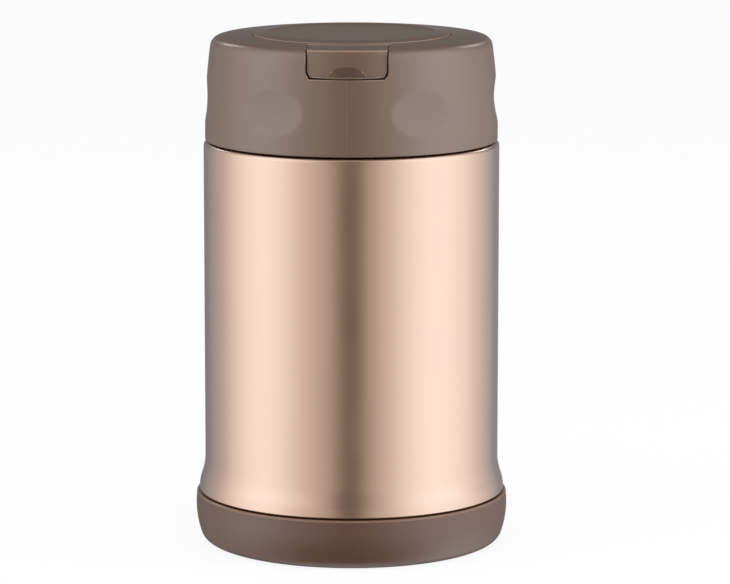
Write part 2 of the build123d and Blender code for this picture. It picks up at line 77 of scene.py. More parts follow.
class Slot(Enum):
    """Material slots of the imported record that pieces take."""

    SHELL = "shell_paint"
    STEEL = "bare_steel"
    BASE = "base_plastic"
    INNER = "inner_lid_plastic"
    LID = "lid_plastic"


def low_mm(node: str) -> float:
    """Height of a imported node's underside."""
    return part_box(node)[0][2] / MM


def high_mm(node: str) -> float:
    """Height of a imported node's top."""
    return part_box(node)[1][2] / MM


def reach_mm(node: str) -> float:
    """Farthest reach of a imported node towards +X."""
    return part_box(node)[1][0] / MM


def measured(reader: Callable[[str], float], node: str) -> float:
    """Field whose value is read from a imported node."""
    return field(default_factory=lambda: reader(node))


def radius_of(at: Vector) -> float:
    """Distance of a point from the jar's axis."""
    return math.hypot(at.x, at.y)


# ------------------------------------------------------------------ outlines
@dataclass(frozen=True)
class Corner:
    """Corner of a turned outline.

    Args:
        r: radius, in millimetres.
        z: height, in millimetres.
        rounding: radius of the corner's fillet, in millimetres.
        steps: number of chords in the fillet.
    """

    r: float
    z: float
    rounding: float = 0.0
    steps: int = 6


def rounded(corners: Sequence[Corner]) -> list[Point]:
    """Draws an open outline through corners, with its fillets as chords.

    Args:
        corners: the corners in order; the first and last stay sharp.

    Returns:
        Points as (radius, height) pairs, in millimetres.
    """
    points = [(corners[0].r, corners[0].z)]
    for before, corner, after in zip(corners, corners[1:], corners[2:]):
        here = Vector((corner.r, corner.z))
        back = (Vector((before.r, before.z)) - here).normalized()
        ahead = (Vector((after.r, after.z)) - here).normalized()
        opening = back.angle(ahead)
        if corner.rounding == 0 or opening > math.pi - 0.01:
            points.append(tuple(here))
            continue
        reach = corner.rounding / math.tan(opening / 2)
        centre = here + (back + ahead).normalized() * corner.rounding / math.sin(opening / 2)
        start = here + back * reach - centre
        end = here + ahead * reach - centre
        sweep = math.pi - opening
        for step in range(corner.steps + 1):
            t = step / corner.steps
            mixed = (start * math.sin((1 - t) * sweep) + end * math.sin(t * sweep)) / math.sin(sweep)
            points.append(tuple(centre + mixed))
    points.append((corners[-1].r, corners[-1].z))
    return points


def falling_arc(centre: Point, radius: float, start: float, end: float, steps: int = 10) -> list[Point]:
    """Draws an arc downwards; its angles are radians below level."""
    angles = [start + (end - start) * k / steps for k in range(steps + 1)]
    return [(centre[0] + radius * math.cos(a), centre[1] - radius * math.sin(a)) for a in angles]


def arc_radius(half_chord: float, depth: float) -> float:
    """Radius of an arc from half its chord and its depth."""
    return (half_chord**2 + depth**2) / (2 * depth)


def s_bend(low: Point, high: Point, share: float = 0.5) -> list[Point]:
    """Draws two arcs that meet between two points, upright at both.

    Args:
        low: the lower end, in millimetres.
        high: the upper end, in millimetres.
        share: share of the way up at which the arcs meet.

    Returns:
        Points from low to high.
    """
    arcs = []
    for end, way in ((low, share), (high, share - 1)):
        rise, shift = (high[1] - low[1]) * way, (high[0] - low[0]) * way
        radius = math.copysign(arc_radius(rise, abs(shift)), shift)
        turn = math.asin(rise / radius)
        arcs.append(falling_arc((end[0] + radius, end[1]), -radius, 0.0, turn))
    return arcs[0] + arcs[1][-2::-1]


# ------------------------------------------------------------------ modelling by operators
def activate(piece: Piece) -> None:
    """Selects a piece alone and makes it the active one."""
    bpy.ops.object.select_all(action="DESELECT")
    piece.select_set(True)
    bpy.context.view_layer.objects.active = piece


def primitive(name: str, add: Callable[..., object], **settings: object) -> Piece:
    """Adds a primitive by its operator, with nothing else selected, and names it."""
    bpy.ops.object.select_all(action="DESELECT")
    add(**settings)
    piece = bpy.context.object
    piece.name = piece.data.name = name
    return piece


@contextmanager
def edit_mode(piece: Piece) -> Iterator[None]:
    """Holds a piece in edit mode with nothing selected, and leaves it in object mode."""
    activate(piece)
    bpy.ops.object.mode_set(mode="EDIT")
    bpy.ops.mesh.select_all(action="DESELECT")
    try:
        yield
    finally:
        bpy.ops.object.mode_set(mode="OBJECT")


def select_mesh() -> None:
    """Selects all of the mesh in edit mode."""
    bpy.ops.mesh.select_all(action="SELECT")


def trim(at: Vector, normal: Sequence[float]) -> None:
    """Cuts off what lies beyond a plane and closes the cut, in edit mode."""
    select_mesh()
    bpy.ops.mesh.bisect(plane_co=at, plane_no=normal, use_fill=True, clear_outer=True)


def stretch(size: Sequence[float], centre: Sequence[float]) -> None:
    """Resizes the whole mesh about a centre, in edit mode."""
    select_mesh()
    bpy.ops.transform.resize(value=size, center_override=centre)


def soften(round_mm: float, segments: int) -> None:
    """Bevels the selected edges, in edit mode."""
    bpy.ops.mesh.bevel(offset=round_mm * MM, segments=segments, affect="EDGES")


def weld(threshold: float = 0.002) -> None:
    """Merges doubles nearer than a distance in millimetres and turns faces outwards, in edit mode."""
    select_mesh()
    bpy.ops.mesh.remove_doubles(threshold=threshold * MM)
    bpy.ops.mesh.normals_make_consistent(inside=False)


def place(piece: Piece) -> None:
    """Puts a piece's location, turn and size into its mesh, with the object at the origin."""
    activate(piece)
    bpy.ops.object.transform_apply(location=True, rotation=True, scale=True)


def apply_modifier(piece: Piece, kind: str, **settings: object) -> None:
    """Adds a modifier with the given settings and applies it."""
    activate(piece)
    modifier = piece.modifiers.new(kind.title(), kind)
    for key, value in settings.items():
        setattr(modifier, key, value)
    bpy.ops.object.modifier_apply(modifier=modifier.name)


def thicken(piece: Piece, sheet: float) -> None:
    """Gives a turned skin its thickness, inwards."""
    apply_modifier(piece, "SOLIDIFY", thickness=sheet * MM, offset=-1, use_even_offset=True)


def cut(piece: Piece, cutter: Piece, operation: str = "DIFFERENCE") -> None:
    """Cuts a piece with a cutter, or joins it to the piece, and deletes the cutter."""
    apply_modifier(piece, "BOOLEAN", object=cutter, operation=operation, solver="EXACT")
    bpy.data.objects.remove(cutter, do_unlink=True)


def turned(name: str, outline: Sequence[Point], steps: int = 256, sweep_deg: float = 360.0) -> Piece:
    """Models a turned piece: a vertex is extruded along the outline, and the outline is spun about Z.

    Args:
        name: the piece's name.
        outline: (radius, height) pairs, in millimetres.
        steps: number of faces around.
        sweep_deg: angle that the outline is spun through, centred on the front; with no window the
            operator turns it clockwise, from the right to the left.

    Returns:
        The new piece, with its object at the origin.
    """
    half = math.radians(sweep_deg / 2)
    heading = Vector((0, -1, 0)) if sweep_deg == 360 else Vector((math.sin(half), -math.cos(half), 0))
    path = [heading * r * MM + Vector((0, 0, z * MM)) for r, z in outline]
    piece = primitive(name, bpy.ops.mesh.primitive_plane_add, size=MM, location=path[0])
    with edit_mode(piece):
        select_mesh()
        bpy.ops.mesh.merge(type="CENTER")
        for here, there in zip(path, path[1:]):
            bpy.ops.mesh.extrude_region_move(TRANSFORM_OT_translate={"value": there - here})
        select_mesh()
        bpy.ops.mesh.spin(steps=steps, angle=math.radians(sweep_deg), center=(0, 0, 0), axis=(0, 0, 1))
        weld()
    place(piece)
    return piece


def front_block(
    name: str, outline: Sequence[Point], half_w: float, foot_z: float, corner: Point, sweep_deg: float = 60.0
) -> Piece:
    """Models a block at the lid's front: a spun sector, cut flat at its sides and lower corners.

    Args:
        name: the piece's name.
        outline: closed outline of the sector, in millimetres.
        half_w: half the width between the flat sides.
        foot_z: height of the lower edge.
        corner: width and height of the cut lower corners.
        sweep_deg: angle of the sector before it is cut.

    Returns:
        The closed block.
    """
    block = turned(name, [*outline, outline[0]], steps=72, sweep_deg=sweep_deg)
    slant = Vector((corner[1], 0, -corner[0])).normalized()
    cuts = (
        (half_w, (1, 0, 0)),
        (-half_w, (-1, 0, 0)),
        (half_w - corner[0], slant),
        (corner[0] - half_w, (-slant.x, 0, slant.z)),
    )
    with edit_mode(block):
        for x, normal in cuts:
            trim(Vector((x, 0, foot_z)) * MM, normal)
        weld()
    return block


def bar(name: str, low: Sequence[float], high: Sequence[float], round_mm: float) -> Piece:
    """Models a bar with rounded edges between two corners.

    Args:
        name: the piece's name.
        low: lowest corner, in millimetres.
        high: highest corner, in millimetres.
        round_mm: rounding of its edges.

    Returns:
        The bar, with its object at the origin.
    """
    middle = [(a + b) / 2 * MM for a, b in zip(low, high)]
    piece = primitive(name, bpy.ops.mesh.primitive_cube_add, size=MM, location=middle)
    with edit_mode(piece):
        stretch([b - a for a, b in zip(low, high)], middle)
        soften(round_mm, 2)
    place(piece)
    return piece


def soften_ends(piece: Piece, axis: int, soft: float, segments: int) -> None:
    """Rounds the rims of a cylinder's two ends.

    Args:
        piece: the cylinder.
        axis: the axis that it lies along, 0 for X and 2 for Z.
        soft: the rounding, in millimetres.
        segments: number of chords in it.
    """
    with edit_mode(piece):
        mesh = bmesh.from_edit_mesh(piece.data)
        for face in mesh.faces:
            face.select_set(abs(face.normal[axis]) > 0.9)
        bmesh.update_edit_mesh(piece.data)
        soften(soft, segments)


def rod(name: str, radius: float, ends: Point, at: Point, soft: float = 0.0) -> Piece:
    """Models a round rod along X.

    Args:
        name: the piece's name.
        radius: in millimetres.
        ends: where it starts and ends along X.
        at: Y and Z of its axis.
        soft: rounding of its ends; 0 keeps them sharp.

    Returns:
        The rod, with its object at the origin.
    """
    piece = primitive(
        name, bpy.ops.mesh.primitive_cylinder_add, vertices=64, radius=radius * MM,
        depth=(ends[1] - ends[0]) * MM, location=Vector(((ends[0] + ends[1]) / 2, *at)) * MM,
        rotation=(0, math.pi / 2, 0),
    )
    place(piece)
    if soft:
        soften_ends(piece, 0, soft, 2)
    return piece


def joined(pieces: Sequence[Piece]) -> Piece:
    """Joins pieces into the first one, which keeps its name."""
    activate(pieces[0])
    for piece in pieces:
        piece.select_set(True)
    bpy.ops.object.join()
    return pieces[0]


def copies_around(piece: Piece, count: int, start_deg: float = 0.0) -> Piece:
    """Copies a piece evenly about Z and joins the copies into it.

    Args:
        piece: the piece to repeat.
        count: number of copies.
        start_deg: turn of the first copy.

    Returns:
        The joined piece.
    """
    copies = [piece]
    for _ in range(1, count):
        twin = piece.copy()
        twin.data = piece.data.copy()
        bpy.context.collection.objects.link(twin)
        copies.append(twin)
    for k, twin in enumerate(copies):
        twin.rotation_euler = (0, 0, math.radians(start_deg + 360 * k / count))
        place(twin)
    return joined(copies) if count > 1 else piece


# ------------------------------------------------------------------ shader nodes
class Nodes:
    """Node tree being wired: adds a node and sets or links its sockets in one call."""

    def __init__(self, tree: bpy.types.NodeTree) -> None:
        """Starts on a tree, which is emptied."""
        self.tree = tree
        tree.nodes.clear()

    def add(self, kind: str, sockets: dict[str | int, object] | None = None, **settings: object) -> bpy.types.Node:
        """Adds a node.

        Args:
            kind: the node's type, without its ShaderNode prefix.
            sockets: input name or index to a value, or to the output socket to link.
            **settings: properties of the node itself.

        Returns:
            The new node.
        """
        node = self.tree.nodes.new("ShaderNode" + kind)
        for key, value in settings.items():
            setattr(node, key, value)
        for key, value in (sockets or {}).items():
            if isinstance(value, Socket):
                self.tree.links.new(value, node.inputs[key])
            else:
                node.inputs[key].default_value = value
        return node

    def math(self, operation: str, *values: object) -> Socket:
        """Adds a math operation on values or sockets and returns its result."""
        return self.add("Math", dict(enumerate(values)), operation=operation).outputs[0]

    def mix(self, factor: object, a: object, b: object, **settings: object) -> Socket:
        """Adds a mix of two colours and returns it."""
        node = self.add("Mix", {"Factor": factor, "A": a, "B": b}, data_type="RGBA", **settings)
        return node.outputs["Result"]

    def span(self, value: Socket, start: float, end: float, low: float = 0.0, high: float = 1.0) -> Socket:
        """Adds a change from low to high while the value goes from start to end, and returns it."""
        sockets = {"Value": value, "From Min": start, "From Max": end, "To Min": low, "To Max": high}
        return self.add("MapRange", sockets).outputs["Result"]

    def noise(self, at: Socket, scale: object, detail: float, roughness: float) -> Socket:
        """Adds a noise texture and returns its value."""
        sockets = {"Vector": at, "Scale": scale, "Detail": detail, "Roughness": roughness}
        return self.add("TexNoise", sockets).outputs["Fac"]


def grey(level: float) -> tuple[float, float, float, float]:
    """Opaque grey of a level."""
    return (level, level, level, 1.0)


def new_material(name: str) -> tuple[bpy.types.Material, Nodes]:
    """Adds a material and starts on its node tree."""
    made = bpy.data.materials.new(name)
    made.use_nodes = True
    return made, Nodes(made.node_tree)


class Effect(Enum):
    """Shared effects, each a node group."""

    GRAIN = "moulded_grain"
    MARKS = "handling_marks"
    BRUSH = "turned_brushing"


CLOUD_SCALE = 60.0  # features per metre of the broad tone in moulded plastic
LINE_SCALE = (6.0, 6.0, 900.0)  # the same for turned metal: long around, fine upwards


def make_group(effect: Effect) -> bpy.types.NodeTree:
    """Builds the node group of an effect, or returns it if it is there already.

    Args:
        effect: which effect.

    Returns:
        The group, with inputs Vector and Scale and outputs Height and Mask.
    """
    ready = bpy.data.node_groups.get(effect.value)
    if ready:
        return ready
    tree = bpy.data.node_groups.new(effect.value, "ShaderNodeTree")
    nodes = Nodes(tree)
    tree.interface.new_socket("Vector", in_out="INPUT", socket_type="NodeSocketVector")
    tree.interface.new_socket("Scale", in_out="INPUT", socket_type="NodeSocketFloat")
    for name in ("Height", "Mask"):
        tree.interface.new_socket(name, in_out="OUTPUT", socket_type="NodeSocketFloat")
    enter, leave = tree.nodes.new("NodeGroupInput"), tree.nodes.new("NodeGroupOutput")
    vector, scale = enter.outputs["Vector"], enter.outputs["Scale"]

    if effect is Effect.GRAIN:
        height, mask = nodes.noise(vector, scale, 3.0, 0.6), nodes.noise(vector, CLOUD_SCALE, 1.0, 0.5)
    elif effect is Effect.MARKS:
        height = mask = nodes.span(nodes.noise(vector, scale, 4.0, 0.65), 0.35, 0.7)
    else:
        lines = nodes.add("Mapping", {"Vector": vector, "Scale": LINE_SCALE}).outputs["Vector"]
        height = mask = nodes.noise(lines, 1.0, 5.0, 0.75)
    tree.links.new(height, leave.inputs["Height"])
    tree.links.new(mask, leave.inputs["Mask"])
    return tree


@dataclass(frozen=True)
class Finish:
    """Procedural finish: a base colour with tone variation, roughness variation and a fine relief.

    Args:
        name: the material's name.
        colour: linear base colour.
        tone: linear colour that the broad mask mixes in.
        roughness: roughness of the clean surface.
        metallic: 0 for plastics, 1 for bare metal.
        relief: effect that drives the relief.
        relief_scale: its scale, in features per metre.
        relief_mm: height of the relief.
        coat: weight of the clear coat.
        coat_roughness: roughness of the clear coat.
        anisotropy: stretch of the highlight on turned metal.
        subsurface: share of light scattered under the surface.
        specular: specular level.
        tone_share: how much of the tone is mixed in.
        roughness_span: how far the handling mask changes the roughness.
        marks_scale: scale of the handling mask, in features per metre.
    """

    name: str
    colour: Colour
    tone: Colour
    roughness: float = 0.4
    metallic: float = 0.0
    relief: Effect = Effect.GRAIN
    relief_scale: float = 2600.0
    relief_mm: float = 0.004
    coat: float = 0.0
    coat_roughness: float = 0.2
    anisotropy: float = 0.0
    subsurface: float = 0.0
    specular: float = 0.5
    tone_share: float = 0.25
    roughness_span: float = 0.06
    marks_scale: float = 35.0

    def material(self) -> bpy.types.Material:
        """Builds the material once and returns it."""
        ready = bpy.data.materials.get(self.name)
        if ready:
            return ready
        made, nodes = new_material(self.name)
        at = nodes.add("TexCoord").outputs["Object"]
        relief = nodes.add("Group", {"Vector": at, "Scale": self.relief_scale}, node_tree=make_group(self.relief))
        marks = nodes.add("Group", {"Vector": at, "Scale": self.marks_scale}, node_tree=make_group(Effect.MARKS))
        share = nodes.math("MULTIPLY", relief.outputs["Mask"], self.tone_share)
        half_span = self.roughness_span / 2
        height = self.height(nodes, at, relief.outputs["Height"])
        bump = nodes.add("Bump", {"Height": height, "Strength": 1.0, "Distance": self.relief_mm * MM})
        shader = nodes.add("BsdfPrincipled", {
            "Base Color": nodes.mix(share, (*self.colour, 1), (*self.tone, 1)),
            "Roughness": nodes.span(
                marks.outputs["Mask"], 0.0, 1.0, self.roughness - half_span, self.roughness + half_span
            ),
            "Normal": bump.outputs["Normal"],
            "Metallic": self.metallic,
            "Coat Weight": self.coat,
            "Coat Roughness": self.coat_roughness,
            "Anisotropic": self.anisotropy,
            "Subsurface Weight": self.subsurface,
            "Specular IOR Level": self.specular,
        })
        nodes.add("OutputMaterial", {"Surface": shader.outputs["BSDF"]})
        return made

    def height(self, nodes: Nodes, at: Socket, grain: Socket) -> Socket:
        """Returns the socket that drives the relief."""
        return grain


@dataclass(frozen=True)
class MouldedFinish(Finish):
    """Moulded plastic with a faint witness line of the mould down its front.

    Args:
        line_low: height where the line starts, in millimetres.
        line_high: height where it ends.
        line_half_w: half its width.
        line_rise: its height over the grain, which is 1 high.
    """

    line_low: float = 0.0
    line_high: float = 0.0
    line_half_w: float = 0.16
    line_rise: float = 6.0

    def height(self, nodes: Nodes, at: Socket, grain: Socket) -> Socket:
        """Adds the witness line to the grain."""
        split = nodes.add("SeparateXYZ", {"Vector": at}).outputs
        off_line = nodes.math("ABSOLUTE", split["X"])
        ridge = nodes.add(
            "MapRange",
            {"Value": off_line, "From Max": self.line_half_w * MM, "To Min": self.line_rise, "To Max": 0.0},
            interpolation_type="SMOOTHSTEP",
        ).outputs["Result"]
        for limit in (
            nodes.math("LESS_THAN", split["Y"], 0.0),
            nodes.math("GREATER_THAN", split["Z"], self.line_low * MM),
            nodes.math("LESS_THAN", split["Z"], self.line_high * MM),
        ):
            ridge = nodes.math("MULTIPLY", ridge, limit)
        return nodes.math("ADD", grain, ridge)


SHELL_PAINT = Finish(
    "champagne_satin_paint", (0.63, 0.463, 0.369), (0.585, 0.425, 0.336), roughness=0.26, metallic=1.0,
    relief=Effect.BRUSH, relief_mm=0.002, coat=1.0, coat_roughness=0.24,
)
BARE_STEEL = Finish(
    "brushed_vessel_steel", (0.60, 0.59, 0.57), (0.48, 0.47, 0.46), roughness=0.26, metallic=1.0,
    relief=Effect.BRUSH, relief_mm=0.003, anisotropy=0.4,
)
LID_PLASTIC = MouldedFinish(
    "lid_brown_plastic", (0.147, 0.086, 0.054), (0.128, 0.074, 0.046), roughness=0.32, specular=1.0,
    coat=0.28, coat_roughness=0.22, line_low=124.4, line_high=146.2,
)
BASE_PLASTIC = Finish(
    "base_brown_plastic", (0.114, 0.054, 0.033), (0.098, 0.046, 0.028), roughness=0.32, specular=0.75
)
# Lighter colours for edges, the base's lip and the scoop's sides: painted highlights, with slightly lower roughness.
LID_PAINTED_HIGHLIGHT = Finish(
    "lid_painted_edge_highlight", (0.300, 0.190, 0.130), (0.240, 0.150, 0.100), roughness=0.30, specular=1.0
)
BASE_PAINTED_HIGHLIGHT = Finish(
    "base_painted_edge_highlight", (0.230, 0.125, 0.080), (0.180, 0.095, 0.060), roughness=0.28, specular=0.75
)
INNER_PLASTIC = Finish("inner_lid_plastic", (0.120, 0.080, 0.060), (0.100, 0.066, 0.050), roughness=0.45)
SILICONE = Finish(
    "gasket_silicone", (0.66, 0.65, 0.61), (0.58, 0.57, 0.53), roughness=0.5, relief_mm=0.002, subsurface=0.15
)
FOIL = Finish(
    "bright_foil", (0.86, 0.86, 0.87), (0.78, 0.78, 0.80), roughness=0.16, metallic=1.0, relief_scale=250.0,
    relief_mm=0.05,
)
FOAM = Finish(
    "bead_foam", (0.84, 0.84, 0.81), (0.76, 0.76, 0.73), roughness=0.8, relief_scale=450.0, relief_mm=0.15
)
RUBBER = Finish("pad_rubber", (0.035, 0.034, 0.033), (0.05, 0.05, 0.05), roughness=0.75)
SOLDER = Finish(
    "sealing_bead", (0.52, 0.48, 0.42), (0.42, 0.38, 0.33), roughness=0.35, metallic=1.0, relief_mm=0.02
)
SINTER = Finish(
    "getter_sinter", (0.22, 0.21, 0.20), (0.15, 0.145, 0.14), roughness=0.7, metallic=0.8, relief_mm=0.02
)


def dress(piece: Piece, plain: Finish, edge: Finish, highlighted: FaceTest | None = None) -> None:
    """Gives a piece its plain finish, and the faces picked for a painted highlight a lighter one.

    Args:
        piece: the mesh.
        plain: finish of the rest.
        edge: finish of the painted highlight on edges and in the scoop, in the second slot.
        highlighted: test of a face's middle, in millimetres, and its normal, which picks the faces of the painted
            highlight; none leaves the piece plain.
    """
    piece.data.materials.clear()
    for finish in (plain, edge):
        piece.data.materials.append(finish.material())
    for face in piece.data.polygons:
        if highlighted and highlighted(face.center / MM, face.normal):
            face.material_index = 1


def finish_piece(piece: Piece, body: Body, finish: Finish, replaces: Iterable[str] = ()) -> Piece:
    """Smooths a piece, dresses it if it isn't yet and ties it to its body.

    Args:
        piece: the finished mesh.
        body: the body that it moves with.
        finish: its finish.
        replaces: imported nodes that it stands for.

    Returns:
        The piece.
    """
    activate(piece)
    bpy.ops.object.shade_smooth_by_angle(angle=math.radians(SMOOTH_DEG))
    apply_modifier(piece, "WEIGHTED_NORMAL", keep_sharp=True, weight=80)
    if not piece.data.materials:
        piece.data.materials.append(finish.material())
    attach(piece, body.value)
    if replaces:
        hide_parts(*replaces)
    LOG.info("%s: %d faces on %s", piece.name, len(piece.data.polygons), body.value)
    return piece


# ------------------------------------------------------------------ steel body
@dataclass
class SteelBody:
    """Painted outer shell with the threaded neck, and the bare steel food vessel."""

    sheet: float = 0.5
    wall_r: float = 45.0
    shoulder_z: float = 123.45
    shoulder_round: float = 1.4
    neck_r: float = 38.6
    neck_root_round: float = 1.2
    rim_round: float = 2.2
    paint_edge_r: float = 41.5
    flare_h: float = 10.2
    flare_turn: float = 0.4
    hem_h: float = 0.6
    hem_round: float = 0.55
    hem_lap: float = 10.65
    skirt_in: float = 1.3
    skirt_bend: float = 0.5
    mouth_r: float = 35.7
    mouth_h: float = 15.0
    vessel_r: float = 40.0
    vessel_neck_h: float = 10.0
    vessel_corner: float = 9.0
    vessel_floor_r: float = 24.0
    vessel_floor_w: float = 2.0
    vessel_floor_step: float = 0.8
    vessel_floor_round: float = 1.5
    thread_lead: float = 12.0
    thread_starts: int = 2
    thread_turn: float = 0.60
    thread_drop: float = 11.8
    thread_h: float = 1.0
    thread_half_w: float = 1.1
    thread_sunk: float = 0.15
    thread_steps: int = 110
    thread_fade: int = 14
    thread_under: float = 2.0
    thread_late: float = 0.8
    skirt_thread_r: float = 40.2
    rim_z: float = measured(high_mm, "outer_shell")
    steel_bottom_z: float = measured(low_mm, "shell_bottom")
    skirt_foot_z: float = measured(low_mm, "outer_shell")
    vessel_z: float = measured(low_mm, "inner_vessel")
    flare_r: float = measured(reach_mm, "outer_shell")

    @property
    def hem_z(self) -> float:
        """Height of the hem over the base cover's lip."""
        return self.steel_bottom_z + self.hem_lap

    def shell(self) -> Piece:
        """Models the outer shell, painted up to the shoulder and bare from there on."""
        flare_low = self.hem_z + self.hem_h
        flare_top = flare_low + self.flare_h
        skirt_r = self.flare_r - self.skirt_in
        lower = rounded([
            Corner(skirt_r, self.skirt_foot_z),
            Corner(skirt_r, self.hem_z, self.skirt_bend),
            Corner(self.flare_r, self.hem_z, self.hem_round),
            Corner(self.flare_r, flare_low),
        ])
        upper = rounded([
            Corner(self.wall_r, flare_top),
            Corner(self.wall_r, self.shoulder_z, self.shoulder_round, 8),
            Corner(self.neck_r, self.shoulder_z, self.neck_root_round),
            Corner(self.neck_r, self.rim_z, self.rim_round, 8),
            Corner(self.mouth_r + self.sheet + TOUCH, self.rim_z),
        ])
        bend = s_bend((self.flare_r, flare_low), (self.wall_r, flare_top), self.flare_turn)
        shell = turned("steel_shell", lower[:-1] + bend + upper[1:])
        thicken(shell, self.sheet)
        paint_low, paint_top = self.hem_z - 0.1, self.shoulder_z - 0.2
        dress(
            shell, SHELL_PAINT, BARE_STEEL,
            lambda at, normal: at.z < paint_low or at.z > paint_top and radius_of(at) < self.paint_edge_r,
        )
        return finish_piece(shell, Body.JAR, SHELL_PAINT, ["outer_shell"])

    def vessel(self) -> Piece:
        """Models the food vessel from its mouth to its stepped floor."""
        neck_foot = self.rim_z - self.mouth_h
        wall_top = neck_foot - self.vessel_neck_h
        outer_neck = self.mouth_r + self.sheet
        bend = s_bend((self.vessel_r, wall_top), (outer_neck, neck_foot))[::-1]
        raised_z = self.vessel_z + self.vessel_floor_step
        lower = rounded([
            Corner(self.vessel_r, wall_top),
            Corner(self.vessel_r, self.vessel_z, self.vessel_corner, 12),
            Corner(self.vessel_floor_r, self.vessel_z, self.vessel_floor_round),
            Corner(self.vessel_floor_r - self.vessel_floor_w, raised_z, self.vessel_floor_round),
            Corner(0, raised_z),
        ])
        vessel = turned("food_vessel", [(outer_neck, self.rim_z), *bend, *lower[1:]])
        thicken(vessel, self.sheet)
        return finish_piece(vessel, Body.JAR, BARE_STEEL, ["inner_vessel"])

    def thread(self) -> Piece:
        """Models the rolled two-start thread on the neck."""
        ridge = self.ridge("neck_thread", self.neck_r, self.thread_h, self.rim_z - self.thread_drop)
        return finish_piece(ridge, Body.JAR, BARE_STEEL)

    def lid_thread(self) -> Piece:
        """Models the mating thread inside the inner lid's skirt, which runs just under the neck's."""
        low_z = self.rim_z - self.thread_drop - self.thread_under + self.thread_late
        late_deg = 360.0 * self.thread_late / self.thread_lead
        ridge = self.ridge("inner_lid_thread", self.skirt_thread_r, -self.thread_h, low_z, late_deg)
        return finish_piece(ridge, Body.LID, INNER_PLASTIC)

    def ridge(self, name: str, root_r: float, height: float, low_z: float, start_deg: float = 0.0) -> Piece:
        """Models a multi-start thread: a small profile is screwed up by a modifier, tapered and copied.

        Args:
            name: the piece's name.
            root_r: radius of the wall that carries the ridge, in millimetres.
            height: how far the ridge stands out; negative points inwards.
            low_z: height where each start begins.
            start_deg: turn of the first start.

        Returns:
            The joined ridges.
        """
        foot_r, half_w, steps = root_r - math.copysign(self.thread_sunk, height), self.thread_half_w, self.thread_steps
        upper = [(foot_r, half_w), (root_r + height * 0.35, half_w * 0.8), (root_r + height, half_w * 0.3)]
        profile = [(r, -z) for r, z in upper] + upper[::-1]
        count = len(profile)
        ridge = primitive(
            name, bpy.ops.mesh.primitive_circle_add, vertices=count, radius=MM, fill_type="NGON"
        )
        for vertex, (r, z) in zip(ridge.data.vertices, profile):
            vertex.co = Vector((r * MM, 0, z * MM))
        apply_modifier(
            ridge, "SCREW", angle=math.tau * self.thread_turn,
            screw_offset=self.thread_lead * self.thread_turn * MM, steps=steps, render_steps=steps,
            use_smooth_shade=True,
        )
        for k, vertex in enumerate(ridge.data.vertices):
            step = k // count
            share = min(1.0, step / self.thread_fade, (steps - step) / self.thread_fade)
            share = math.sin(max(share, 0.0) * math.pi / 2)
            r = radius_of(vertex.co)
            kept = foot_r * MM + (r - foot_r * MM) * share
            vertex.co.x *= kept / r
            vertex.co.y *= kept / r
            vertex.co.z += low_z * MM
        with edit_mode(ridge):
            weld(0.001)
        return copies_around(ridge, self.thread_starts, start_deg)


# ------------------------------------------------------------------ base cover
@dataclass
class BaseCover:
    """Moulded cup around the foot of the steel body."""

    hem_z: float
    max_z: float = 11.45
    lip_r: float = 47.65
    lip_round: float = 0.75
    lip_gap: float = 0.3
    wall: float = 2.0
    side_r: float = 27.5
    side_deg: float = 19.0
    foot_w: float = 7.5
    recess: float = 1.5
    floor: float = 1.6
    max_r: float = measured(reach_mm, "base_cover")

    @property
    def lip_z(self) -> float:
        """Height of the lip, just under the shell's hem."""
        return self.hem_z - self.lip_gap

    def outline(self) -> list[Point]:
        """Draws the closed outline: side, foot corner, foot ring, recess, inside and lip."""
        turn = math.radians(self.side_deg)
        side = falling_arc((self.max_r - self.side_r, self.max_z), self.side_r, 0.0, turn)
        corner_r = side[-1][1] / (1 - math.sin(turn))
        foot_r = side[-1][0] - corner_r * math.cos(turn)
        corner = falling_arc((foot_r, corner_r), corner_r, turn, math.pi / 2)
        inside = self.lip_r - self.wall
        rest = rounded([
            Corner(foot_r, 0),
            Corner(foot_r - self.foot_w, 0, 0.5, 4),
            Corner(foot_r - self.foot_w - self.recess, self.recess, 1.0, 4),
            Corner(0, self.recess),
        ])
        inner = rounded([
            Corner(0, self.recess + self.floor),
            Corner(inside, self.recess + self.floor, 1.0, 4),
            Corner(inside, self.lip_z, 0.15, 3),
            Corner(self.lip_r, self.lip_z, self.lip_round),
            Corner(self.max_r, self.max_z),
        ])
        return side + corner[1:] + rest[1:] + inner

    def build(self) -> Piece:
        """Models the cover, with a painted highlight on the upward-facing rounding of its lip."""
        cover = turned("base_cup", self.outline())
        low_z, low_r = self.lip_z - self.lip_round, self.lip_r - self.lip_round
        # Upward-facing faces of the lip's rounding get a lighter colour: a painted highlight.
        dress(
            cover, BASE_PLASTIC, BASE_PAINTED_HIGHLIGHT,
            lambda at, normal: at.z > low_z and radius_of(at) > low_r and normal.z > 0.35,
        )
        return finish_piece(cover, Body.JAR, BASE_PLASTIC, ["base_cover"])


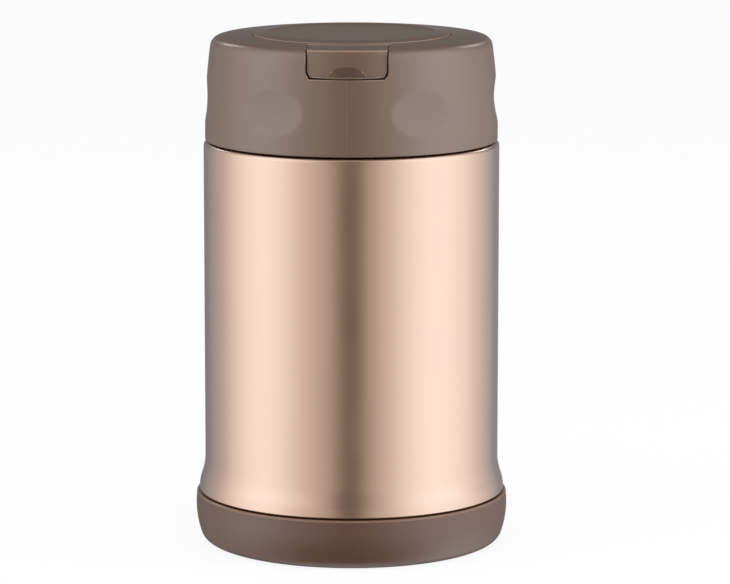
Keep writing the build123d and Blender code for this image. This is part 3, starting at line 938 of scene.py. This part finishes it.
# ------------------------------------------------------------------ lid
@dataclass
class LidForm:
    """Outer form that the lid cover and the release tab share, as heights above the seam."""

    shoulder_below: float
    edge_r: float = 44.5
    seam_half: float = 0.2
    edge_h: float = 4.0
    wall_h: float = 29.0
    barrel_r: float = 185.0
    corner_r: float = 3.0
    slope_deg: float = 3.0

    @property
    def seam_z(self) -> float:
        """Height of the middle of the seam between shell and lid."""
        return self.shoulder_below + self.seam_half

    @property
    def cover_z(self) -> float:
        """Height of the cover's lower edge."""
        return self.seam_z + self.seam_half

    def wall_at(self, z: float) -> float:
        """Radius of the wall's outside at a height, in millimetres."""
        up = max(0.0, z - self.seam_z - self.edge_h)
        return self.edge_r - self.barrel_r + math.sqrt(self.barrel_r**2 - up**2)

    def hinge(self) -> Point:
        """Y and Z of the tab's hinge axis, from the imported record."""
        joints = frame["record"]["behaviour"]["joints"]
        axis_at = next(joint["pos_m"] for joint in joints if joint["name"] == "tab_hinge")
        return (axis_at[1] / MM, axis_at[2] / MM)

    def corner(self, steps: int = 10) -> list[Point]:
        """Draws the rounded corner from the wall to the shoulder."""
        rise = math.asin((self.wall_h - self.edge_h) / self.barrel_r)
        top = self.seam_z + self.wall_h
        centre = (
            self.wall_at(top) - self.corner_r * math.cos(rise),
            top - self.corner_r * math.sin(rise),
        )
        return falling_arc(centre, self.corner_r, -rise, math.radians(self.slope_deg) - math.pi / 2, steps)

    def shoulder_z(self, r: float) -> float:
        """Height of the shoulder's surface at a radius."""
        edge = self.corner()[-1]
        return edge[1] + (edge[0] - r) * math.tan(math.radians(self.slope_deg))


def hook_block(
    name: str, top_z: float, half_w: float, arm: Point = (36.75, 38.35), nose_r: float = 35.5, drop: float = 2.86
) -> Piece:
    """Models a hook at the front that reaches under the inner lid's catch rim.

    Args:
        name: the piece's name.
        top_z: height where its arm starts.
        half_w: half its width.
        arm: inner and outer radius of its arm.
        nose_r: radius that its nose reaches in to.
        drop: how far its foot lies under the inner lid's top.

    Returns:
        The closed hook.
    """
    low_z = high_mm("inner_lid") - drop
    outline = rounded([
        Corner(arm[0], top_z),
        Corner(arm[0], low_z + 1.88),
        Corner(nose_r, low_z + 1.1, 0.15, 3),
        Corner(nose_r, low_z + 0.3, 0.15, 3),
        Corner(nose_r + 0.6, low_z, 0.15, 3),
        Corner(arm[1], low_z, 0.4, 4),
        Corner(arm[1], top_z),
    ])
    return front_block(name, outline, half_w, low_z, (0.5, 0.5), sweep_deg=36.0)


@dataclass
class LidCover:
    """Cap-shaped cover with six grip dimples, the plate's seat and the opening for the tab."""

    form: LidForm
    wall: float = 1.6
    edge_round: float = 0.4
    ring_r: tuple[float, ...] = (38.0, 35.0, 33.0)
    inside_drops: Point = (8.0, 16.0)
    inside_low_h: float = 6.0
    ceiling_h: float = 28.75
    seat_r: float = 30.1
    seat_h: float = 30.75
    frame_wall: float = 0.8
    window_half_w: float = 12.2
    window_foot_h: float = 23.0
    window_corner: Point = (1.0, 1.8)
    window_round: float = 0.28
    window_over: Point = (6.0, 20.0)
    bore_r: float = 0.91
    bore_l: float = 2.05
    ear_w: float = 3.0
    ear_t: float = 1.0
    ear_y: Point = (-35.5, -30.9)
    ear_low_h: float = 28.05
    key_half_w: float = 1.0
    key_y: float = -43.7
    key_rib_y: float = -41.75
    key_rest_y: float = -39.65
    key_rest_t: float = 1.5
    key_lift: float = 1.2
    key_rest_drop: float = 4.05
    hook_half_w: float = 7.0
    hook_sunk: float = 0.3
    grip_count: int = 6
    grip_h: float = 12.6
    grip_half_w: float = 9.8
    grip_half_h: float = 6.9
    grip_depth: float = 1.0
    grip_blend: float = 0.05
    grip_from_h: float = 1.5
    rows: int = 64
    steps: int = 480

    def outline(self) -> list[Point]:
        """Draws the closed outline: wall, corner, shoulder, seat, ceiling and inside."""
        form = self.form
        low, top = form.cover_z, form.seam_z + form.wall_h
        wall = [(form.wall_at(z), z) for z in (low + (top - low) * k / self.rows for k in range(self.rows + 1))]
        wall[0] = (form.edge_r - self.edge_round, low)
        wall.insert(1, (form.edge_r - self.edge_round * 0.3, low + self.edge_round * 0.3))
        wall[2] = (form.edge_r, low + self.edge_round)
        seat_z = form.seam_z + self.seat_h
        frame_r = self.seat_r + self.frame_wall
        rings = [(r, form.shoulder_z(r)) for r in (*self.ring_r, frame_r)]
        rim = rounded([
            Corner(frame_r, form.shoulder_z(frame_r)),
            Corner(self.seat_r, form.shoulder_z(self.seat_r), 0.15, 3),
            Corner(self.seat_r, seat_z),
        ])
        ceiling_z = form.seam_z + self.ceiling_h
        levels = (ceiling_z, *(top - drop for drop in self.inside_drops), form.seam_z + self.inside_low_h, low)
        inside = [(form.wall_at(z) - self.wall, z) for z in levels]
        return [*wall, *form.corner()[1:], *rings, *rim[1:], (0, seat_z), (0, ceiling_z), *inside, wall[0]]

    def dent(self, point: Vector) -> float:
        """Works out how far a point of the wall is pressed in by its dimple.

        Args:
            point: a point of the undented wall, in millimetres.

        Returns:
            The depth of the dent there, in millimetres, with a soft edge.
        """
        pitch = math.tau / self.grip_count
        azimuth = math.atan2(point.x, -point.y)
        off = (azimuth / pitch - 0.5 - round(azimuth / pitch - 0.5)) * pitch
        across = off * self.form.wall_at(point.z) / self.grip_half_w
        upright = (point.z - self.form.seam_z - self.grip_h) / self.grip_half_h
        depth = self.grip_depth * (1 - across**2 - upright**2)
        return (depth + math.sqrt(depth**2 + self.grip_blend**2)) / 2

    def press_grips(self, cover: Piece) -> None:
        """Presses the grip dimples into both faces of the wall."""
        low, high = self.form.seam_z + self.grip_from_h, self.form.seam_z + 2 * self.grip_h
        for vertex in cover.data.vertices:
            point = vertex.co / MM
            r = radius_of(point)
            if low < point.z < high and r > self.seat_r:
                inward = (r - self.dent(point)) / r
                vertex.co.x *= inward
                vertex.co.y *= inward

    def window(self) -> Piece:
        """Models the cutter for the tab's opening, which reaches well past the cover."""
        near, foot = self.seat_r + self.frame_wall, self.form.seam_z + self.window_foot_h
        far, top = self.form.edge_r + self.window_over[0], foot + self.window_over[1]
        outline = [(near, foot), (far, foot), (far, top), (near, top)]
        return front_block("window_cutter", outline, self.window_half_w, foot, self.window_corner)

    def ears(self) -> Piece:
        """Models the two ears under the shoulder that hold the tab's trunnions."""
        near, far = self.window_half_w, self.window_half_w + self.ear_w
        low = self.form.seam_z + self.ear_low_h
        (front, rear), top = self.ear_y, low + self.ear_t
        right = bar("hinge_ears", (near, front, low), (far, rear, top), 0.2)
        return joined([right, bar("ear_left", (-far, front, low), (-near, rear, top), 0.2)])

    def keys(self) -> Piece:
        """Models the six ribs inside the wall that turn the inner lid and rest on its flange."""
        low, rest_z = low_mm("inner_lid") + self.key_lift, high_mm("inner_lid") - self.key_rest_drop
        half_w, top = self.key_half_w, rest_z + self.key_rest_t
        rib = bar("cover_keys", (-half_w, self.key_y, low), (half_w, self.key_rib_y, top), 0.15)
        rest = bar("key_rest", (-half_w, self.key_y, rest_z), (half_w, self.key_rest_y, top), 0.15)
        return copies_around(joined([rib, rest]), self.grip_count)

    def rear_hook(self) -> Piece:
        """Models the fixed hook at the rear, under the inner lid's catch rim."""
        top = self.form.seam_z + self.ceiling_h + self.hook_sunk
        return copies_around(hook_block("cover_hook", top, self.hook_half_w), 1, 180.0)

    def build(self) -> list[Piece]:
        """Models the cover: turned, dimpled and cut open for the tab, with its ears, keys and hook."""
        cover = turned("lid_cap", self.outline(), steps=self.steps)
        self.press_grips(cover)
        cut(cover, self.window())
        start, end = self.window_half_w - 1, self.window_half_w + self.bore_l
        for ends in ((start, end), (-end, -start)):
            cut(cover, rod("bore", self.bore_r, ends, self.form.hinge()))
        # The second slot holds the painted highlight that soften_window puts on the opening's edges.
        dress(cover, LID_PLASTIC, LID_PAINTED_HIGHLIGHT)
        self.soften_window(cover)
        finish_piece(cover, Body.LID, LID_PLASTIC, ["lid_cover"])
        inside = [self.ears(), self.keys(), self.rear_hook()]
        return [cover, *(finish_piece(piece, Body.LID, LID_PLASTIC) for piece in inside)]

    def soften_window(self, cover: Piece) -> None:
        """Breaks the sharp edge between the outside and the tab's opening; the bevel's faces take a painted highlight.
        """
        form = self.form
        foot, near_r = form.seam_z + self.window_foot_h, self.seat_r + self.frame_wall
        with edit_mode(cover):
            bpy.ops.mesh.select_mode(type="EDGE")
            mesh = bmesh.from_edit_mesh(cover.data)
            for edge in mesh.edges:
                sharp = len(edge.link_faces) == 2 and edge.calc_face_angle(0.0) > math.radians(SHARP_DEG)
                middle = (edge.verts[0].co + edge.verts[1].co) / 2 / MM
                r = radius_of(middle)
                beside = abs(middle.x) < self.window_half_w + TOUCH and middle.y < 0 and middle.z > foot - TOUCH
                skin = abs(r - form.wall_at(middle.z)) < TOUCH or middle.z > form.seam_z + form.wall_h
                edge.select_set(sharp and beside and skin and r > near_r - TOUCH)
            bmesh.update_edit_mesh(cover.data)
            # The bevel's new faces take the second slot: a painted highlight along the opening.
            bpy.ops.mesh.bevel(
                offset=self.window_round * MM, segments=3, affect="EDGES", clamp_overlap=False, material=1
            )
            bpy.ops.mesh.select_mode(type="VERT")


@dataclass
class TopPlate:
    """Round plate with a bevelled edge and a dished middle, let into the cover's top."""

    form: LidForm
    low_h: float = 30.8
    foot_h: float = 32.35
    top_h: float = 32.95
    bevel_w: float = 3.9
    rim_w: float = 0.6
    dish: float = 0.3
    # Widths of the painted highlight rings, inside and outside the plate's edges.
    highlight_w: Point = (0.25, 0.2)
    r: float = measured(reach_mm, "top_plate")

    def build(self) -> Piece:
        """Models the plate, with painted highlights on its two ring edges."""
        bevel_r = self.r - self.bevel_w
        low_z, top_z = self.form.seam_z + self.low_h, self.form.seam_z + self.top_h
        plate = turned("top_disc", rounded([
            Corner(0, low_z),
            Corner(self.r, low_z),
            Corner(self.r, self.form.seam_z + self.foot_h, 0.25, 4),
            Corner(bevel_r, top_z, 0.8, 5),
            Corner(bevel_r - self.rim_w, top_z, 0.4, 4),
            Corner(bevel_r - 2 * self.rim_w, top_z - self.dish, 0.8, 4),
            Corner(0, top_z - self.dish),
        ]))
        inner, outer = self.highlight_w
        rings = ((self.r - inner, self.r), (bevel_r - inner, bevel_r + outer))
        # Upward-facing faces within the rings get a lighter colour: painted highlights on the edges.
        dress(
            plate, LID_PLASTIC, LID_PAINTED_HIGHLIGHT,
            lambda at, normal: normal.z > 0.3 and any(low < radius_of(at) < high for low, high in rings),
        )
        return finish_piece(plate, Body.LID, LID_PLASTIC, ["top_plate"])


@dataclass
class ReleaseTab:
    """Hinged tab with a thumb scoop, a finger lip, a hinge barrel and the hook."""

    form: LidForm
    half_w: float = 11.8
    foot_h: float = 23.3
    foot_r: float = 42.5
    edge_r: float = 41.5
    rear_r: float = 31.6
    wall: float = 1.6
    under_h: float = 30.1
    edge_round: float = 0.6
    rear_round: float = 0.8
    side_round: float = 0.28
    corner: Point = (1.0, 1.8)
    scoop_half_w: float = 7.5
    scoop_h: float = 3.4
    scoop_depth: float = 1.3
    # Share of the scoop's half width that keeps the plain colour; the scoop's sides outside it carry painted
    # highlights.
    scoop_shine: float = 0.68
    lip_t: float = 0.55
    lip_reach: float = 1.4
    lip_round: float = 0.22
    lip_root: float = 0.6
    barrel_r: float = 1.3
    trunnion_r: float = 0.85
    trunnion_end: float = 13.95
    hook_half_w: float = 5.0
    hook_top_h: float = 30.4
    gusset_x: float = 3.4
    gusset_w: float = 1.2
    gusset_y: Point = (-40.5, -37.55)
    gusset_lift: float = 0.9

    @property
    def foot_z(self) -> float:
        """Height of the tab's lower edge."""
        return self.form.seam_z + self.foot_h

    def blank(self) -> Piece:
        """Models the panel and face as one bent plate with softened edges, and paints highlights on its top front edge
        and its bevels.
        """
        form, foot = self.form, self.foot_z
        under, edge_z = form.seam_z + self.under_h, form.shoulder_z(self.edge_r)
        outline = rounded([
            Corner(self.rear_r, under),
            Corner(self.rear_r, form.shoulder_z(self.rear_r), self.rear_round),
            Corner(self.edge_r, edge_z, self.edge_round, 5),
            Corner(self.foot_r, foot, 0.2, 3),
            Corner(self.foot_r - self.wall, foot),
            Corner(self.edge_r - self.wall, under, 0.8),
            Corner(self.rear_r, under),
        ])[:-1]
        tab = front_block("tab", outline, self.half_w, foot, self.corner)
        # Faces of the top front edge's rounding get a lighter colour: a painted highlight.
        dress(
            tab, LID_PLASTIC, LID_PAINTED_HIGHLIGHT,
            lambda at, normal: at.z > edge_z - self.edge_round and 0.25 < normal.z < 0.97 and normal.y < -0.2,
        )
        # The bevel's new faces take the second slot: painted highlights along the tab's sides.
        apply_modifier(
            tab, "BEVEL", width=self.side_round * MM, segments=3, limit_method="ANGLE",
            angle_limit=math.radians(50), use_clamp_overlap=True, material=1,
        )
        return tab

    def scoop(self, name: str, skin: float = 0.0) -> Piece:
        """Models the scoop's half dome, standing on the lip.

        Args:
            name: name of the piece.
            skin: how much larger than the scoop, in millimetres.

        Returns:
            The closed dome.
        """
        dome_r = arc_radius(self.scoop_half_w, self.scoop_depth)
        rise = math.sqrt(1 - ((dome_r - self.scoop_depth) / dome_r) ** 2)
        centre = Vector((0, -self.foot_r + self.scoop_depth - dome_r, self.foot_z + self.lip_t)) * MM
        size = (dome_r + skin, dome_r + skin, self.scoop_h / rise + skin)
        dome = primitive(
            name, bpy.ops.mesh.primitive_uv_sphere_add, segments=128, ring_count=64, radius=MM, location=centre
        )
        with edit_mode(dome):
            stretch(size, centre)
            trim(centre, (0, 0, -1))
        place(dome)
        return dome

    def lip(self) -> Piece:
        """Models the finger lip as a slice of a round disc with a softened edge."""
        lip_r = arc_radius(self.scoop_half_w, self.lip_reach)
        lip = primitive(
            "tab_lip", bpy.ops.mesh.primitive_cylinder_add, vertices=256, radius=lip_r * MM, depth=self.lip_t * MM,
            location=Vector((0, -self.foot_r - self.lip_reach + lip_r, self.foot_z + self.lip_t / 2)) * MM,
        )
        soften_ends(lip, 2, self.lip_round, 4)
        with edit_mode(lip):
            trim(Vector((0, -self.foot_r + self.scoop_depth + self.lip_root, 0)) * MM, (0, 1, 0))
        place(lip)
        return lip

    def underside(self) -> list[Piece]:
        """Models the parts under the panel: barrel, trunnions, hook and gussets."""
        axis, top = self.form.hinge(), self.form.seam_z + self.hook_top_h
        parts = [
            rod("tab_barrel", self.barrel_r, (-self.half_w, self.half_w), axis, 0.25),
            rod("tab_trunnions", self.trunnion_r, (-self.trunnion_end, self.trunnion_end), axis, 0.15),
            hook_block("tab_hook", top, self.hook_half_w),
        ]
        front, rear = self.gusset_y
        for side in (-1, 1):
            low_x = side * self.gusset_x - self.gusset_w / 2
            low = (low_x, front, self.foot_z + self.gusset_lift)
            parts.append(bar("tab_gusset", low, (low_x + self.gusset_w, rear, top), 0.15))
        for part in parts:
            dress(part, LID_PLASTIC, LID_PAINTED_HIGHLIGHT)
        return parts

    def build(self) -> Piece:
        """Models the tab: plate with scoop, lip, barrel with trunnions, hook and gussets."""
        tab = self.blank()
        backing = self.scoop("scoop_backing", self.wall * 0.7)
        with edit_mode(backing):
            trim(Vector((0, -self.foot_r + self.wall * 0.9, 0)) * MM, (0, -1, 0))
        cut(tab, backing, "UNION")
        scoop = self.scoop("scoop_cutter")
        # Scoop faces outside an inner half ellipse get a lighter colour: painted highlights standing in for
        # reflections of the side lights.
        inner, foot = self.scoop_half_w * self.scoop_shine, self.foot_z + self.lip_t
        dress(
            scoop, LID_PLASTIC, LID_PAINTED_HIGHLIGHT,
            lambda at, normal: (at.x / inner) ** 2 + ((at.z - foot) / self.scoop_h) ** 2 > 1,
        )
        cut(tab, scoop)
        cut(tab, self.lip(), "UNION")
        tab.name = tab.data.name = "release_flap"
        tab = joined([tab, *self.underside()])
        return finish_piece(tab, Body.TAB, LID_PLASTIC, ["release_tab"])


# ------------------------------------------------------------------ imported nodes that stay
STAYING_NODES: dict[str, Finish] = {
    "shell_bottom": BARE_STEEL,
    "vacuum_seal": SOLDER,
    "heat_shield": FOIL,
    "getter": SINTER,
    "base_cushion": RUBBER,
    "mouth_gasket": SILICONE,
    "inner_lid": INNER_PLASTIC,
    "insulation_foam": FOAM,
    "foam_cap": INNER_PLASTIC,
}


def dress_staying_nodes() -> None:
    """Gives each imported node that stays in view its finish."""
    for name, finish in STAYING_NODES.items():
        node = frame["nodes"][name]
        node.data.materials.clear()
        node.data.materials.append(finish.material())
        LOG.info("%s: dressed as %s", name, finish.name)


# ------------------------------------------------------------------ studio
@dataclass(frozen=True)
class Softbox:
    """Upright softbox that faces the jar and that reflections don't show.

    Args:
        name: the lamp's name.
        azimuth_deg: its place around the jar, from the front towards +X.
        distance: from the jar's axis, in millimetres.
        height: of its middle.
        size: width and height.
        power: in watts.
        aim_height: height of the point on the jar's axis that it faces.
    """

    name: str
    azimuth_deg: float
    distance: float
    height: float
    size: Point
    power: float
    aim_height: float = 80.0

    def build(self) -> None:
        """Adds the lamp."""
        data = bpy.data.lights.new(self.name, "AREA")
        data.shape = "RECTANGLE"
        data.size, data.size_y = (side * MM for side in self.size)
        data.energy = self.power
        lamp = bpy.data.objects.new(self.name, data)
        bpy.context.collection.objects.link(lamp)
        lamp.location = around(self.azimuth_deg, self.distance, self.height)
        aim = Vector((0, 0, self.aim_height * MM)) - lamp.location
        lamp.rotation_euler = aim.to_track_quat("-Z", "Y").to_euler()
        lamp.visible_glossy = False


def around(azimuth_deg: float, distance: float, height: float) -> Vector:
    """Place around the jar in metres, from millimetres and an azimuth from the front towards +X."""
    turn = math.radians(azimuth_deg)
    return Vector((math.sin(turn) * distance, -math.cos(turn) * distance, height)) * MM


@dataclass(frozen=True)
class LightTent:
    """Wall of light around the jar that only reflections see: bright sides, dark front and rear, dark roof.

    Args:
        radius: of the wall, in millimetres.
        low: its lower edge.
        high: its upper edge.
        ground: height between the ground levels and the middle ones, and the height of the blend.
        horizon: height between the middle levels and the upper ones, and the height of the blend.
        below: level at each azimuth near the ground, from the front towards +X, in degrees.
        lower: level at each azimuth below the horizon.
        upper: level at each azimuth above the horizon.
        roof: level of the roof.
        roof_blend: shares of the upper edge between which the roof's level takes over.
        brightest: level that the ramps' white stands for.
        warm: tint of the darker parts.
        cool: tint of the bright sides and of the rear.
        warm_below: share of the brightest level below which the warm tint is full.
        cool_above: share above which the cool one is.
        rear_deg: azimuths between which it takes over towards the rear.
        rim_azimuth_deg: azimuth of the two rim lights.
        rim_height: height of their middle.
        rim_half: half their size: azimuth, in degrees, and height.
        rim_level: their level.
    """

    radius: float = 1500.0
    low: float = -2600.0
    high: float = 3600.0
    ground: Point = (-750.0, 500.0)
    horizon: Point = (260.0, 160.0)
    below: tuple[Point, ...] = (
        (-180, 0.30), (-150, 0.30), (-120, 0.70), (-98, 1.02), (-75, 1.02), (-55, 0.72), (-38, 0.36), (-22, 0.14),
        (0, 0.05), (22, 0.16), (38, 0.48), (55, 1.02), (75, 1.62), (98, 1.90), (120, 1.30), (150, 0.40), (180, 0.30),
    )
    lower: tuple[Point, ...] = (
        (-180, 0.45), (-167, 0.23), (-150, 0.23), (-141, 0.34), (-118, 0.65), (-102, 1.10), (-88, 1.40), (-75, 1.53),
        (-64, 1.54), (-53, 1.42), (-43, 1.17), (-33, 0.95), (-22, 0.80), (-12, 0.64), (-5, 0.20), (6, 0.16),
        (13, 0.58), (24, 0.85), (33, 1.06), (43, 1.30), (53, 1.48), (64, 1.59), (75, 1.59), (87, 1.50),
        (101, 1.33), (116, 0.98), (136, 0.54), (150, 0.28), (167, 0.28), (180, 0.45),
    )
    upper: tuple[Point, ...] = (
        (-180, 0.14), (-150, 0.18), (-125, 0.55), (-108, 1.02), (-90, 1.50), (-75, 1.66), (-60, 1.60), (-45, 1.30),
        (-30, 0.98), (-15, 0.60), (-6, 0.18), (6, 0.14), (15, 0.52), (30, 0.95), (45, 1.35), (60, 1.62), (75, 1.75),
        (95, 1.58), (110, 1.10), (125, 0.55), (150, 0.18), (180, 0.14),
    )
    roof: float = 0.55
    roof_blend: Point = (0.6, 0.98)
    brightest: float = 2.0
    warm: Colour = (1.0, 0.84, 0.74)
    cool: Colour = (1.0, 1.025, 1.07)
    warm_below: float = 0.25
    cool_above: float = 0.86
    rear_deg: Point = (100.0, 140.0)
    rim_azimuth_deg: float = 146.0
    rim_height: float = 1020.0
    rim_half: Point = (7.0, 230.0)
    rim_level: float = 3.0

    def ramp(self, nodes: Nodes, turn: Socket, stops: Sequence[Point]) -> Socket:
        """Adds a ramp over the azimuth.

        Args:
            nodes: the material's node tree.
            turn: socket of the azimuth, from 0 to 1.
            stops: (azimuth, level) pairs.

        Returns:
            The ramp's colour socket.
        """
        node = nodes.add("ValToRGB", {"Fac": turn})
        elements = node.color_ramp.elements
        for azimuth, level in stops[1:-1]:
            elements.new((azimuth + 180) / 360).color = grey(level / self.brightest)
        elements[0].color = grey(stops[0][1] / self.brightest)
        elements[-1].color = grey(stops[-1][1] / self.brightest)
        return node.outputs["Color"]

    def level(self, nodes: Nodes, turn: Socket, height: Socket) -> Socket:
        """Adds the level of light at each azimuth and height.

        Args:
            nodes: the material's node tree.
            turn: socket of the azimuth, from 0 to 1.
            height: socket of the height.

        Returns:
            The level's socket.
        """
        level = self.ramp(nodes, turn, self.below)
        for (middle, blend), stops in ((self.ground, self.lower), (self.horizon, self.upper)):
            above = nodes.span(height, (middle - blend / 2) * MM, (middle + blend / 2) * MM)
            level = nodes.mix(above, level, self.ramp(nodes, turn, stops))
        above = nodes.span(height, *(self.high * share * MM for share in self.roof_blend))
        return nodes.mix(above, level, grey(self.roof / self.brightest))

    def build(self) -> None:
        """Models and lights the wall and its roof."""
        tent = turned("light_tent", [(self.radius, self.low), (self.radius, self.high), (0, self.high)], steps=96)
        material, nodes = new_material("tent_light")
        split = nodes.add("SeparateXYZ", {"Vector": nodes.add("TexCoord").outputs["Object"]}).outputs
        azimuth = nodes.math("ARCTAN2", split["X"], nodes.math("MULTIPLY", split["Y"], -1.0))
        level = self.level(nodes, nodes.span(azimuth, -math.pi, math.pi), split["Z"])
        off_front = nodes.math("ABSOLUTE", azimuth)
        rear = nodes.span(off_front, *(math.radians(side) for side in self.rear_deg))
        cool = nodes.math("MAXIMUM", nodes.span(level, self.warm_below, self.cool_above), rear)
        tint = nodes.mix(cool, (*self.warm, 1), (*self.cool, 1))
        tinted = nodes.mix(1.0, level, tint, blend_type="MULTIPLY")
        rim = nodes.math(
            "MULTIPLY",
            nodes.math("COMPARE", off_front, math.radians(self.rim_azimuth_deg), math.radians(self.rim_half[0])),
            nodes.math("COMPARE", split["Z"], self.rim_height * MM, self.rim_half[1] * MM),
        )
        lit = nodes.mix(rim, tinted, grey(self.rim_level / self.brightest))
        glow = nodes.add("Emission", {"Color": lit, "Strength": self.brightest})
        nodes.add("OutputMaterial", {"Surface": glow.outputs[0]})
        tent.data.materials.append(material)
        tent.visible_camera = tent.visible_diffuse = tent.visible_shadow = tent.visible_transmission = False


@dataclass
class Studio:
    """Pale floor, white surroundings, softboxes, light tent and the camera."""

    floor_size: float = 8000.0
    floor_level: float = 0.9
    floor_white: float = 1.05
    floor_share: float = 0.84
    ambient: float = 0.55
    tent: LightTent = field(default_factory=LightTent)
    softboxes: tuple[Softbox, ...] = (
        Softbox("softbox_left", -66.0, 900.0, 260.0, (500.0, 800.0), 3.0),
        Softbox("softbox_right", 74.0, 900.0, 260.0, (500.0, 800.0), 4.8),
        Softbox("softbox_top", 0.0, 500.0, 900.0, (600.0, 300.0), 1.4),
    )
    camera_distance: float = 1211.0
    camera_height: float = 281.75
    camera_azimuth_deg: float = 1.84
    camera_pitch_deg: float = 10.0
    focal_px: float = 4009.0
    principal: Point = (351.45, 318.5)
    image: Point = (730.0, 584.0)
    sensor_mm: float = 36.0

    def floor(self) -> None:
        """Adds the pale floor, which shows white and keeps the jar's shadow."""
        floor = primitive("floor", bpy.ops.mesh.primitive_plane_add, size=self.floor_size * MM)
        material, nodes = new_material("pale_floor")
        share = nodes.math("MULTIPLY", nodes.add("LightPath").outputs["Is Camera Ray"], self.floor_share)
        matt = nodes.add("BsdfDiffuse", {"Color": grey(self.floor_level)})
        glow = nodes.add("Emission", {"Color": grey(1.0), "Strength": self.floor_white})
        mixed = nodes.add("MixShader", {0: share, 1: matt.outputs[0], 2: glow.outputs[0]})
        nodes.add("OutputMaterial", {"Surface": mixed.outputs[0]})
        floor.data.materials.append(material)
        floor.visible_glossy = False

    def world(self) -> None:
        """Sets the surroundings: white to the camera and in reflections, and a plain fill light."""
        world = bpy.data.worlds.new("studio_white")
        bpy.context.scene.world = world
        world.use_nodes = True
        nodes = Nodes(world.node_tree)
        path = nodes.add("LightPath").outputs
        sharp = nodes.math("MAXIMUM", path["Is Glossy Ray"], path["Is Transmission Ray"])
        shown = nodes.math("MAXIMUM", path["Is Camera Ray"], sharp)
        fill, white = (
            nodes.add("Background", {"Color": grey(1.0), "Strength": strength}).outputs[0]
            for strength in (self.ambient, 1.0)
        )
        mixed = nodes.add("MixShader", {0: shown, 1: fill, 2: white})
        nodes.add("OutputWorld", {"Surface": mixed.outputs[0]})

    def camera(self) -> None:
        """Adds the camera."""
        data = bpy.data.cameras.new("camera")
        data.sensor_width = self.sensor_mm
        data.lens = self.focal_px / self.image[0] * self.sensor_mm
        data.shift_x = (self.image[0] / 2 - self.principal[0]) / self.image[0]
        data.shift_y = (self.principal[1] - self.image[1] / 2) / self.image[0]
        data.clip_start, data.clip_end = 0.01, 20.0
        camera = bpy.data.objects.new("camera", data)
        bpy.context.collection.objects.link(camera)
        camera.location = around(self.camera_azimuth_deg, self.camera_distance, self.camera_height)
        turn = math.radians(self.camera_azimuth_deg)
        camera.rotation_euler = (math.radians(90 - self.camera_pitch_deg), 0, turn)
        bpy.context.scene.camera = camera

    def build(self) -> None:
        """Sets the whole studio up."""
        self.camera()
        self.world()
        self.floor()
        self.tent.build()
        for softbox in self.softboxes:
            softbox.build()
        bpy.context.scene.view_settings.view_transform = "Standard"


def main() -> None:
    """Builds the studio and every sub-assembly in order."""
    logging.basicConfig(level=logging.INFO, format="%(name)s: %(message)s")
    Studio().build()
    body = SteelBody()
    body.shell()
    body.vessel()
    body.thread()
    body.lid_thread()
    BaseCover(body.hem_z).build()
    form = LidForm(body.shoulder_z)
    LidCover(form).build()
    TopPlate(form).build()
    ReleaseTab(form).build()
    dress_staying_nodes()


if __name__ == "__main__":
    main()
